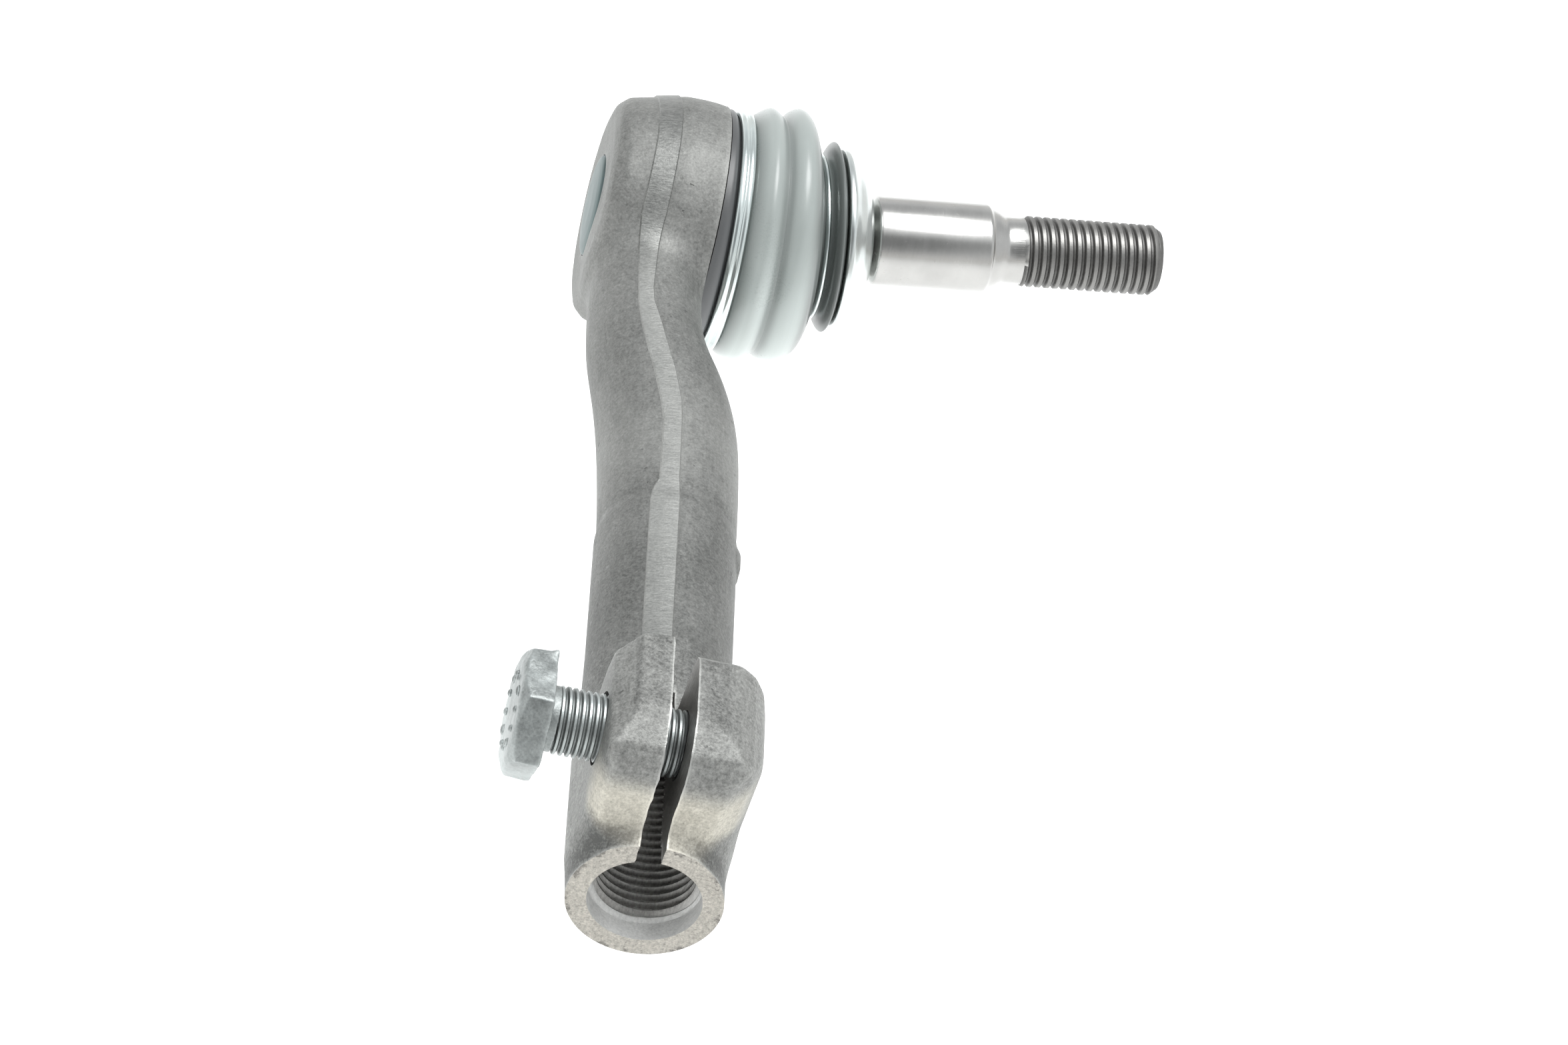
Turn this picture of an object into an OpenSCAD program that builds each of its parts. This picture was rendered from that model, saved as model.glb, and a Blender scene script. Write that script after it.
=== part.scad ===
// Outer tie rod end with a clamped threaded socket, a bent forged arm and a ball stud.
// Millimetres. The origin is the centre of the socket's mouth. +Y runs along the barrel to
// the ball, +X is the side the stud points to, and +Z is the side the clamp ears stand on.

/* [Socket and barrel] */
// Minor diameter of the M16 x 1.5 socket thread
socket_d = 14.38; // [12:0.01:18]
// Length of the threaded socket
socket_len = 40; // [30:1:60]
// Diameter of the plain counterbore at the mouth
counterbore_d = 16.6; // [15:0.1:19]
// Depth of the counterbore
counterbore_len = 3.2; // [1:0.1:6]
// Barrel diameter at the mouth
barrel_d = 22.8; // [20:0.1:28]
// Barrel diameter where the arm starts
barrel_back_d = 22.2; // [20:0.1:28]
// Length of the round barrel
barrel_len = 74; // [50:1:100]

/* [Clamp ears] */
// Width of the saw cut between the ears
slot_w = 3.7; // [2:0.1:6]
// Sideways offset of the saw cut
slot_x = -1.5; // [-3:0.1:3]
// Length of the saw cut
slot_len = 31; // [20:1:45]
// Distance of the clamp bolt from the mouth
clamp_y = 15.3; // [12:0.1:24]
// Height of the clamp bolt over the barrel axis
clamp_z = 17; // [14:0.1:20]
// Height of the ears over the barrel axis
ear_h = 27.4; // [22:0.1:32]
// Clearance hole in the ear on the bolt head's side
clearance_d = 10.8; // [10.2:0.1:12]

/* [Clamp bolt] */
// Outside diameter of the M10 clamp bolt
bolt_d = 9.9; // [8:0.1:12]
// Length of the bolt under its head
bolt_len = 20.6; // [15:0.2:45]
// Width across the flats of the bolt head
bolt_af = 17; // [13:0.5:19]
// Height of the bolt head
bolt_head_h = 5.3; // [4:0.1:8]
// Gap between the bolt head and the ear (zero is tight)
bolt_gap = 7.9; // [0:0.1:20]

/* [Ball joint] */
// Distance from the socket mouth to the ball
arm_len = 151; // [120:1:200]
// Sideways offset of the ball
ball_x = 1.4; // [-5:0.1:5]
// Ball diameter
ball_d = 22; // [18:0.5:27]
// Largest diameter of the ball housing
head_d = 42.8; // [36:0.1:50]
// Lean of the stud away from the housing axis, in degrees
stud_tilt = 8.4; // [0:0.1:15]
// Direction of the lean round the housing axis, in degrees (0 is +Y)
stud_heading = 45; // [0:5:355]

/* [Stud] */
// Diameter of the plain shank
shank_d = 15; // [12:0.1:18]
// Diameter of the M12 x 1.5 stud thread
thread_d = 12; // [10:0.1:16]
// Ball centre to the start of the shank
shank_start = 30.8; // [28:0.1:36]
// Ball centre to the end of the shank
shank_end = 50.4; // [40:0.1:60]
// Ball centre to the start of the thread
thread_start = 56.6; // [50:0.1:66]
// Ball centre to the tip
stud_len = 79.9; // [70:0.1:100]
// Diameter of the sealing ring under the shank
seat_ring_d = 30.2; // [24:0.1:36]

/* [Dust boot] */
// Diameter over the boot's folds
boot_d = 43; // [36:0.1:50]
// Wall thickness of the boot
boot_wall = 1.8; // [1:0.1:3]
// Diameter of the boot's lip
boot_lip_d = 32; // [26:0.1:38]

/* [Hidden] */

$fn = 96;
ball_r = ball_d / 2;
fit = 0.05;                       // running clearance between ball and cups
seat_r = ball_r + fit;
cup_r = ball_r + 2;               // outside radius of the plastic cups
bore_r = cup_r + 0.04;            // bore of the housing round the cups
plate_r = 14.2;                   // closing plate
dome_r = 8.6;                     // its dome, inside the rolled-over rim
face_x = -17;                     // closed face of the housing
rim_x = 1.3;                      // edge of the housing beside the boot
collar_r = 17.3;                  // collar that the boot is clamped on
collar_x = 9.2;
neck_r = 5.4;                     // stud neck between ball and sealing ring
ear_x = -11.6;                    // face of the ear under the bolt head
bolt_x = ear_x - bolt_gap;        // underside of the bolt head
aluminium = [0.60, 0.60, 0.58];
steel = [0.72, 0.73, 0.74];
plastic = [0.90, 0.89, 0.84];
rubber = [0.16, 0.18, 0.20];
zinc = [0.55, 0.60, 0.60];
chrome = [0.80, 0.81, 0.82];

// Places children with +Z along the housing axis (+X) and the ball at the origin.
module at_ball() {
    translate([ball_x, arm_len, 0]) rotate([0, 90, 0]) children();
}

// Leans children by an angle about the ball's centre, and moves them a little the same way.
module leaning(tilt = stud_tilt, extra = 0) {
    rotate([0, 0, stud_heading + 180]) translate([0, -extra, 0]) rotate([tilt, 0, 0])
        rotate([0, 0, -stud_heading - 180]) children();
}

// Ring section of the arm: a circle of n points at height y.
function ring(y, cx, rx, rz, n) = [for (k = [0 : n - 1])
    [cx + rx * cos(360 * k / n), y, rz * sin(360 * k / n)]];

// Solid skin over rings that have n points each.
module skin(rings, n) {
    m = len(rings);
    points = [for (r = rings) each r];
    lower = [for (j = [0 : m - 2], k = [0 : n - 1])
        [j * n + k, j * n + (k + 1) % n, (j + 1) * n + (k + 1) % n]];
    upper = [for (j = [0 : m - 2], k = [0 : n - 1])
        [j * n + k, (j + 1) * n + (k + 1) % n, (j + 1) * n + k]];
    start = [for (k = [n - 1 : -1 : 0]) k];
    end = [for (k = [0 : n - 1]) (m - 1) * n + k];
    polyhedron(points, concat(lower, upper, [start, end]));
}

// Bent arm from the barrel to the ball housing: [y, centre x, half width, half height].
arm_stations = [
    [70, 0.02, 10.80, 10.80], [76, 0.05, 10.95, 10.95], [84, -0.10, 11.05, 11.0],
    [90, -0.35, 11.20, 10.9], [95, -0.65, 11.28, 10.8], [100, -1.20, 11.25, 10.7],
    [105, -2.05, 11.05, 10.6], [110, -3.25, 10.65, 10.5], [115, -4.70, 9.95, 10.4],
    [120, -5.50, 9.40, 10.4], [126, -5.80, 9.30, 10.6], [134, -5.90, 9.30, 11.0],
    [140, -5.90, 8.80, 11.0]];

module arm() {
    skin([for (s = arm_stations) ring(s[0], s[1], s[2], s[3], 36)], 36);
}

// Round barrel with a softened edge at the mouth.
module barrel() {
    rotate([-90, 0, 0]) rotate_extrude() polygon([
        [0, 0], [barrel_d / 2 - 0.2, 0], [barrel_d / 2, 0.2], [barrel_d / 2, 30],
        [barrel_back_d / 2, 48], [barrel_back_d / 2, barrel_len],
        [barrel_back_d / 2 - 2, barrel_len + 3], [0, barrel_len + 3]]);
}

// Outline of each ear seen from the side: [y, z].
ear_nose = [[0.2, 0], [0.4, 8], [2.4, 11.0], [3.3, 14.5], [3.4, 20], [4.2, 22.6], [6.2, 24.9],
            [9.2, ear_h - 0.9], [13, ear_h]];
left_ear_side = concat(ear_nose, [[25.6, ear_h], [26.9, ear_h - 0.8], [27.2, 24], [27.4, 14],
                                  [28.5, 11], [31, 8], [31, 0]]);
right_ear_side = concat(ear_nose, [[20.6, ear_h], [23.2, ear_h - 0.7], [24.5, ear_h - 1.6],
                                   [25, 23.5], [25.2, 14], [26.5, 11], [29, 8], [29, 0]]);
// Outline of the ears seen along the barrel: [x, z].
ear_front = [[-11.4, 0], [ear_x, 6], [ear_x, 20], [ear_x + 0.3, 24.0], [-7.9, ear_h - 0.2],
             [-3.2, ear_h], [0.4, ear_h - 0.2], [4.5, ear_h - 0.6], [7.0, 25.8], [9.4, 24.0],
             [11.2, 21.7], [12.1, 19.3], [12.5, 16.6], [12.5, 12], [12.0, 6], [11.4, 0]];
// Outline of the ears seen from above: [x, y].
ear_top = [[-3.0, 0.2], [-7.0, 1.2], [-10.0, 3.2], [-11.3, 5.8], [ear_x - 0.1, 9.0],
           [ear_x - 0.1, 24.2], [-7.4, 26.1], [-3.4, 27.2], [0.3, 27.0],
           [6.4, 25.4], [9.6, 25.0], [11.6, 24.2], [12.6, 21.0], [12.6, 15.4], [11.8, 10.4],
           [10.0, 6.6], [6.8, 3.4], [3.4, 1.0], [0.4, 0.2]];

module ear(side, from, wide) {
    intersection() {
        translate([from, 0, 0]) rotate([90, 0, 90]) linear_extrude(wide) polygon(side);
        translate([0, 40, 0]) rotate([90, 0, 0]) linear_extrude(45) polygon(ear_front);
        linear_extrude(40) polygon(ear_top);
    }
}

module ears() {
    ear(left_ear_side, -15, 15 + slot_x);
    ear(right_ear_side, slot_x, 16 - slot_x);
}

// Body of revolution round the housing axis, which is the Z axis here.
module head_body() {
    rotate_extrude() polygon([
        [0, face_x], [15.4, face_x], [17.4, face_x + 0.6], [18.8, face_x + 2.2],
        [20.3, -9.2], [head_d / 2 - 0.15, -5.4], [head_d / 2, -2.6], [head_d / 2 - 0.1, -0.6],
        [21.0, rim_x - 0.5], [20.6, rim_x], [collar_r, rim_x], [collar_r, collar_x],
        [0, collar_x]]);
}

// Room for the cups, the ball and the swinging stud.
module head_room() {
    rotate_extrude() polygon([
        [0, face_x - 1.2], [dome_r + 0.04, face_x - 1.2], [dome_r + 0.04, face_x + 0.8],
        [plate_r + 0.04, face_x + 0.8], [plate_r + 0.04, face_x + 2.8],
        [bore_r, face_x + 2.8], [bore_r, 1.5], [10.3, 6.5], [12.4, collar_x + 0.1],
        [0, collar_x + 0.1]]);
}

module housing() color(aluminium) difference() {
    union() {
        barrel();
        arm();
        ears();
        at_ball() head_body();
    }
    at_ball() head_room();
    // room for the boot's bead beside the arm
    at_ball() rotate_extrude() polygon([
        [collar_r, rim_x], [24, rim_x], [24, rim_x + 9], [collar_r, rim_x + 9]]);
    // threaded socket with its drill point and counterbore
    rotate([-90, 0, 0]) {
        translate([0, 0, -1]) cylinder(h = socket_len + 1, d = socket_d);
        translate([0, 0, socket_len]) cylinder(h = 4, d1 = socket_d, d2 = 0.4);
        translate([0, 0, -1]) cylinder(h = counterbore_len + 1, d = counterbore_d);
        translate([0, 0, counterbore_len])
            cylinder(h = 1.1, d1 = counterbore_d, d2 = socket_d);
    }
    // saw cut down to the socket
    translate([slot_x - slot_w / 2, -1, 1]) cube([slot_w, slot_len + 1, 40]);
    // clearance hole on one side, tapped hole on the other
    translate([-20, clamp_y, clamp_z]) rotate([0, 90, 0])
        cylinder(h = 20 + slot_x, d = clearance_d);
    translate([slot_x, clamp_y, clamp_z]) rotate([0, 90, 0]) {
        cylinder(h = 10.6, d = bolt_d + 0.1);
        translate([0, 0, 10.6]) cylinder(h = 1.4, d1 = bolt_d + 0.1, d2 = 1);
    }
}

module closing_plate() color(steel) at_ball() rotate_extrude() polygon([
    [0, face_x - 1.0], [4, face_x - 0.95], [7, face_x - 0.7], [8.2, face_x - 0.4], [dome_r, face_x],
    [dome_r, face_x + 0.85], [plate_r, face_x + 0.85], [plate_r, face_x + 2.75], [0, face_x + 2.75]]);

module preload_spring() color(steel) at_ball() rotate_extrude() polygon([
    [7.4, -13.0], [7.4, -13.5], [12.2, -14.2], [12.2, -13.7]]);

module pressure_seat() color(plastic) at_ball() rotate_extrude() polygon(concat(
    [[0, -12.8], [9.6, -12.8], [10.4, -13.4], [cup_r, -13.4], [cup_r, -0.6]],
    [for (a = [3.2 : 8.68 : 90]) [seat_r * cos(a), -seat_r * sin(a)]]));

module bearing_seat() color(plastic) at_ball() rotate_extrude() polygon(concat(
    [for (a = [0 : 5 : 30]) [seat_r * cos(a), seat_r * sin(a)]],
    [[10.3, 6.4], [cup_r - 0.05, 1.55], [cup_r, 1.4], [cup_r, 0]]));

module ball_stud() color(steel) at_ball() leaning() {
    sphere(r = ball_r);
    rotate_extrude() polygon([
        [0, 0], [neck_r, 0], [neck_r, 29.7], [shank_d / 2 - 0.8, shank_start - 0.4],
        [shank_d / 2, shank_start], [shank_d / 2, shank_end - 0.5],
        [shank_d / 2 - 0.6, shank_end], [thread_d / 2 + 0.3, shank_end + 1.4],
        [thread_d / 2 - 0.4, shank_end + 2.6], [thread_d / 2 - 0.4, thread_start - 0.5],
        [thread_d / 2, thread_start], [thread_d / 2, stud_len - 1.2],
        [thread_d / 2 - 1.0, stud_len], [0, stud_len]]);
}

// Sealing ring pressed on the stud: a thin flange with a domed shoulder.
module seat_ring() color(chrome) at_ball() leaning() rotate_extrude() polygon([
    [neck_r, 24.0], [seat_ring_d / 2 - 0.3, 24.0], [seat_ring_d / 2, 24.3],
    [seat_ring_d / 2, 25.0], [seat_ring_d / 2 - 0.3, 25.3], [13.6, 26.2], [12.4, 27.4],
    [10.8, 28.5], [8.8, 29.3], [7.2, 29.6], [neck_r, 29.6]]);

// The boot leans more and more with the stud, from its bead to its lip.
bead_lean = 2.5;
fold1_lean = 3.8;
fold2_lean = 5.5;

module boot_outside() {
    leaning(bead_lean, 0.3) rotate_extrude() polygon([
        [0, 0], [20.2, 0], [20.3, 2.6], [20.1, 3.3], [19.3, 3.8], [19.3, 6.4],
        [19.8, 6.6], [20.5, 7.8], [20.8, 9.2], [0, 9.6]]);
    leaning(fold1_lean, 0.4) rotate_extrude() polygon([
        [0, 8.7], [19.9, 8.9], [20.9, 9.2], [boot_d / 2, 10.0], [20.9, 11.2], [20.1, 12.3],
        [20.1, 12.8], [0, 12.8]]);
    leaning(fold2_lean, 0.6) rotate_extrude() polygon([
        [0, 11.6], [19.9, 12.0], [20.2, 12.6], [20.9, 13.6], [boot_d / 2, 15.1], [21.0, 16.8],
        [19.6, 18.2], [17.0, 19.4], [0, 19.6]]);
    leaning() rotate_extrude() polygon([
        [0, 15], [18.4, 17.6], [15.4, 19.2], [13.2, 19.8], [13.0, 20.2], [13.0, 21.2],
        [13.5, 21.7], [15.2, 22.1], [boot_lip_d / 2, 22.7], [boot_lip_d / 2, 23.1],
        [13.0, 23.7], [0, 23.7]]);
}

module boot_inside() {
    leaning(bead_lean, 0.3) translate([0, 0, 8.2]) cylinder(h = 1.4, r = 17.6);
    leaning(fold1_lean, 0.4) rotate_extrude() polygon([
        [0, 8.6], [17.6, 9.0], [boot_d / 2 - boot_wall, 10.0], [18.9, 11.0], [18.2, 12.3],
        [18.2, 13.0], [0, 13.0]]);
    leaning(fold2_lean, 0.6) rotate_extrude() polygon([
        [0, 11.0], [17.8, 11.6], [18.2, 12.6], [19.0, 13.8], [boot_d / 2 - boot_wall, 15.1],
        [18.9, 16.2], [17.6, 17.0], [13.0, 17.8], [0, 18.0]]);
    leaning() rotate_extrude() polygon([
        [0, 14], [13.6, 16.2], [11.6, 17.5], [10.6, 18.4], [10.6, 19.2], [0, 19.2]]);
    leaning() cylinder(h = 40, r = 9.64);
    // straight seat on the housing's collar
    cylinder(h = collar_x + 0.3, r = collar_r + 0.04);
}

module dust_boot() color(rubber) at_ball() difference() {
    boot_outside();
    boot_inside();
    translate([0, 0, -8]) cylinder(h = rim_x + 8.2, r = 30);
}

module boot_clamp_ring_large() color(chrome) at_ball() leaning(bead_lean, 0.3)
    rotate_extrude() polygon([
        [19.34, 3.85], [20.2, 3.9], [20.5, 4.5], [20.2, 5.1], [20.5, 5.7], [20.2, 6.3],
        [19.34, 6.35]]);

module boot_clamp_ring_small() color(chrome) at_ball() leaning() rotate_extrude() polygon([
    [13.04, 20.25], [13.7, 20.3], [13.9, 20.7], [13.7, 21.1], [13.04, 21.15]]);

// Stiff ring moulded in the boot's small end, running on the stud's neck.
module boot_lip_ring() color(plastic) at_ball() leaning() rotate_extrude() polygon([
    [neck_r + fit, 19.4], [9.6, 19.4], [9.6, 23.6], [neck_r + fit, 23.6]]);

module pinch_bolt() color(zinc) translate([bolt_x, clamp_y, clamp_z]) rotate([0, 90, 0]) {
    intersection() {
        translate([0, 0, -bolt_head_h]) rotate([0, 0, 30])
            cylinder(h = bolt_head_h, d = bolt_af / cos(30), $fn = 6);
        translate([0, 0, -bolt_head_h]) rotate_extrude() polygon([
            [0, 0], [bolt_af / 2 - 0.9, 0], [bolt_af / 2 + 1.4, 1.3],
            [bolt_af / 2 + 1.4, bolt_head_h], [0, bolt_head_h]]);
    }
    rotate_extrude() polygon([
        [0, -1], [bolt_d / 2, -1], [bolt_d / 2, bolt_len - 1.1], [bolt_d / 2 - 1, bolt_len],
        [0, bolt_len]]);
}

housing();
closing_plate();
preload_spring();
pressure_seat();
bearing_seat();
ball_stud();
seat_ring();
dust_boot();
boot_clamp_ring_large();
boot_clamp_ring_small();
boot_lip_ring();
pinch_bolt();
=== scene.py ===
"""The looks of a steering tie rod end: forged arm with a pinch clamp, ball joint, ribbed boot and clamp bolt."""

import math

import bmesh
import bpy
import numpy as np
from bpy.props import FloatProperty, FloatVectorProperty, IntProperty, PointerProperty
from mathutils import Matrix, Vector


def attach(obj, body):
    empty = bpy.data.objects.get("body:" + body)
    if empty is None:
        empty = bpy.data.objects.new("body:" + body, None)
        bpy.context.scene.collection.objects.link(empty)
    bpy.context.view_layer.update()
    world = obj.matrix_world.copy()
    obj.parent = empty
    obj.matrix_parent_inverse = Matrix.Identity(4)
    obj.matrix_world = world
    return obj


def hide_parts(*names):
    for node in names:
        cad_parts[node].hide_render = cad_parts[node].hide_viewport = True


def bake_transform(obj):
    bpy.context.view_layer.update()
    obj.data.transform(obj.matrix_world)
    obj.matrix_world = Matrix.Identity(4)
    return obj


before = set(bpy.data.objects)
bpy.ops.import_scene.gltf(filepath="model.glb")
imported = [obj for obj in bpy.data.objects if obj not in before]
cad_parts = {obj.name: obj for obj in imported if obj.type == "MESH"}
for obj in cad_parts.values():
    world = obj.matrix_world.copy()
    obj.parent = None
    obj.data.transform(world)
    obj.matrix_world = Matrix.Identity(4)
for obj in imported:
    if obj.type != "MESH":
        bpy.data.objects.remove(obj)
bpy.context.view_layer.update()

bl_info = {
    "name": "Tie rod end",
    "version": (1, 0, 0),
    "blender": (4, 5, 0),
    "location": "3D View > Sidebar > Tie rod",
    "description": "Builds the visible pieces of a steering tie rod end around its packed CAD parts",
    "category": "Object",
}

MM = 0.001
TAU = 2 * math.pi

# Where things are, in millimetres, as the CAD parts have them
BALL = np.array([1.4, 151.0, 0.0])
LEAN_AXIS = Vector((0, -math.sqrt(0.5), math.sqrt(0.5)))
LEAN_WAY = Vector((0, math.sqrt(0.5), math.sqrt(0.5)))
BOLT_Y, BOLT_Z = 15.3, 17.0
BOLT_FACE, BOLT_SEAT, BOLT_END = -24.8, -19.5, 1.1
SLOT_LEFT, SLOT_RIGHT, SLOT_END = -3.35, 0.35, 31.0
# Thread radii, crest and root, and where the stud's thread runs
SOCKET_CREST, SOCKET_ROOT, COUNTERBORE = 8.0, 7.19, 8.3
TAPPED_CREST, TAPPED_ROOT = 5.3, 5.0
STUD_CREST, STUD_THREAD_START, STUD_END = 6.0, 55.6, 79.9
BOLT_CREST = 4.93

# Barrel and arm: distance from the mouth, middle across, half width, half height
ARM = [
    (-2, 0, 11.38, 11.38), (0.4, 0, 11.4, 11.4), (30, 0, 11.4, 11.4),
    (48, 0, 11.1, 11.1), (72.6, 0, 11.1, 11.1), (74.6, 0.03, 10.82, 10.82), (76, 0.05, 10.9, 10.9),
    (84, -0.1, 11.05, 11), (90, -0.35, 11.2, 10.9), (95, -0.65, 11.28, 10.8), (100, -1.2, 11.25, 10.7),
    (105, -2.05, 11.05, 10.6), (110, -3.25, 10.65, 10.5), (115, -4.7, 9.95, 10.4), (120, -5.5, 9.4, 10.4),
    (126, -5.8, 9.3, 10.6), (134, -5.9, 9.3, 11), (140, -5.9, 8.8, 11), (144, -5.9, 8.6, 11),
]
# Joint head, turned about the ball's axis: radius, distance along it
HEAD = [
    (0, -17), (15.4, -17), (17.4, -16.4), (18.8, -14.8), (20.2, -9.2), (21.05, -5.4), (21.15, -2.6),
    (21.1, -0.6), (20.9, 1.2), (20.6, 9.3), (0, 9.3),
]
# Clamp ears: outlines from the side, the front and above
EAR_NOSE = [(0.2, 0), (0.4, 8), (2.4, 11), (3.3, 14.5), (3.4, 20), (4.2, 22.6), (6.2, 24.9), (9.2, 26.5), (13, 27.4)]
LEFT_EAR = EAR_NOSE + [(25.6, 27.4), (26.9, 26.6), (27.2, 24), (27.4, 14), (28.5, 11), (31, 8), (31, 0)]
RIGHT_EAR = EAR_NOSE + [(20.6, 27.4), (23.2, 26.7), (24.5, 25.8), (25, 23.5), (25.2, 14), (26.5, 11), (29, 8), (29, 0)]
EAR_FRONT = [
    (-11.4, 0), (-11.6, 6), (-11.6, 20), (-11.3, 24), (-7.9, 27.2), (-3.2, 27.4), (0.4, 27.2), (4.5, 26.8),
    (7, 25.8), (9.4, 24), (11.2, 21.7), (12.1, 19.3), (12.5, 16.6), (12.5, 12), (12, 6), (11.4, 0),
]
EAR_TOP = [
    (-3, 0.2), (-7, 1.2), (-10, 3.2), (-11.3, 5.8), (-11.7, 9), (-11.7, 24.2), (-7.4, 26.1), (-3.4, 27.2), (0.3, 27),
    (6.4, 25.4), (9.6, 25), (11.6, 24.2), (12.6, 21), (12.6, 15.4), (11.8, 10.4),
    (10, 6.6), (6.8, 3.4), (3.4, 1), (0.4, 0.2),
]
STAMP = (70.2, 1.4, 2.9, 11.42)  # small stamped pad: along, up, radius, how far out its face is


# ---------------------------------------------------------------- settings

class HousingSizes(bpy.types.PropertyGroup):
    """Sizes and colours of the forging"""
    grid: FloatProperty(
        name="Skin grid", description="Spacing of the points on the forged skin",
        default=0.00054, min=0.0002, unit="LENGTH")
    parting_height: FloatProperty(
        name="Parting strip height", description="How far the trimmed parting strip stands proud",
        default=0.00026, min=0.0, unit="LENGTH")
    socket_pitch: FloatProperty(
        name="Socket thread pitch", description="Pitch of the thread in the socket",
        default=0.0015, min=0.0005, unit="LENGTH")
    dark: FloatVectorProperty(
        name="Forging, dark", description="Colour of the darker patches of the blasted skin",
        default=(0.105, 0.107, 0.102), size=3, subtype="COLOR", min=0, max=1)
    light: FloatVectorProperty(
        name="Forging, light", description="Colour of the lighter patches of the blasted skin",
        default=(0.43, 0.433, 0.416), size=3, subtype="COLOR", min=0, max=1)
    face: FloatVectorProperty(
        name="Sawn face", description="Colour of the machined face round the mouth",
        default=(0.6, 0.57, 0.51), size=3, subtype="COLOR", min=0, max=1)


class BootSizes(bpy.types.PropertyGroup):
    """Sizes and colours of the dust boot"""
    steps: IntProperty(name="Steps round", description="Number of steps round the boot", default=144, min=24)
    colour: FloatVectorProperty(
        name="Rubber", description="Colour of the rubber",
        default=(0.33, 0.362, 0.35), size=3, subtype="COLOR", min=0, max=1)
    bead: FloatVectorProperty(
        name="Rubber bead", description="Colour of the thick dark bead beside the clamp ring",
        default=(0.085, 0.088, 0.09), size=3, subtype="COLOR", min=0, max=1)


class StudSizes(bpy.types.PropertyGroup):
    """Sizes and colours of the ball stud"""
    pitch: FloatProperty(
        name="Thread pitch", description="Pitch of the stud's thread",
        default=0.0015, min=0.0005, unit="LENGTH")
    depth: FloatProperty(
        name="Thread depth", description="Depth of the stud's thread",
        default=0.00052, min=0.0, unit="LENGTH")
    colour: FloatVectorProperty(
        name="Ground steel", description="Colour of the ground shank",
        default=(0.54, 0.535, 0.52), size=3, subtype="COLOR", min=0, max=1)
    thread_colour: FloatVectorProperty(
        name="Rolled thread", description="Colour of the rolled thread",
        default=(0.2, 0.197, 0.19), size=3, subtype="COLOR", min=0, max=1)


class BoltSizes(bpy.types.PropertyGroup):
    """Sizes and colours of the clamp bolt"""
    pitch: FloatProperty(
        name="Thread pitch", description="Pitch of the bolt's fine thread",
        default=0.001, min=0.0005, unit="LENGTH")
    depth: FloatProperty(
        name="Thread depth", description="Depth of the bolt's thread",
        default=0.0005, min=0.0, unit="LENGTH")
    flats: FloatProperty(
        name="Across flats", description="Width of the head across its flats",
        default=0.017, min=0.01, unit="LENGTH")
    colour: FloatVectorProperty(
        name="Zinc", description="Colour of the rough zinc",
        default=(0.29, 0.31, 0.306), size=3, subtype="COLOR", min=0, max=1)


class StageSizes(bpy.types.PropertyGroup):
    """Floor, light and camera"""
    floor_drop: FloatProperty(
        name="Floor", description="How far the floor is below the part's axis",
        default=0.11, min=0.022, unit="LENGTH")
    lamp: FloatProperty(name="Lamp", description="Power of the soft lamp overhead", default=9.0, min=0.0, unit="POWER")


# ---------------------------------------------------------------- shader helpers

class Wire:
    """A socket in a material or world, so that patterns are put together as plain sums."""

    def __init__(self, finish, socket):
        self.finish, self.socket = finish, socket

    def math(self, operation, *values):
        return self.finish.node("ShaderNodeMath", {"operation": operation}, dict(enumerate(values)))

    def __add__(self, other):
        return self.math("ADD", self, other)

    __radd__ = __add__

    def __sub__(self, other):
        return self.math("SUBTRACT", self, other)

    def __rsub__(self, other):
        return self.math("SUBTRACT", other, self)

    def __mul__(self, other):
        return self.math("MULTIPLY", self, other)

    __rmul__ = __mul__

    def __truediv__(self, other):
        return self.math("DIVIDE", self, other)

    def between(self, low, high, start=0.0, end=1.0):
        """0 below low, 1 above high, smooth between them."""
        return self.finish.node("ShaderNodeMapRange", {"interpolation_type": "SMOOTHSTEP"},
                                {0: self, 1: low, 2: high, 3: start, 4: end})

    def size(self):
        return self.math("ABSOLUTE", self)

    def capped(self):
        return self.finish.node("ShaderNodeClamp", {}, {0: self})

    def least(self, other):
        return self.math("MINIMUM", self, other)


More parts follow.
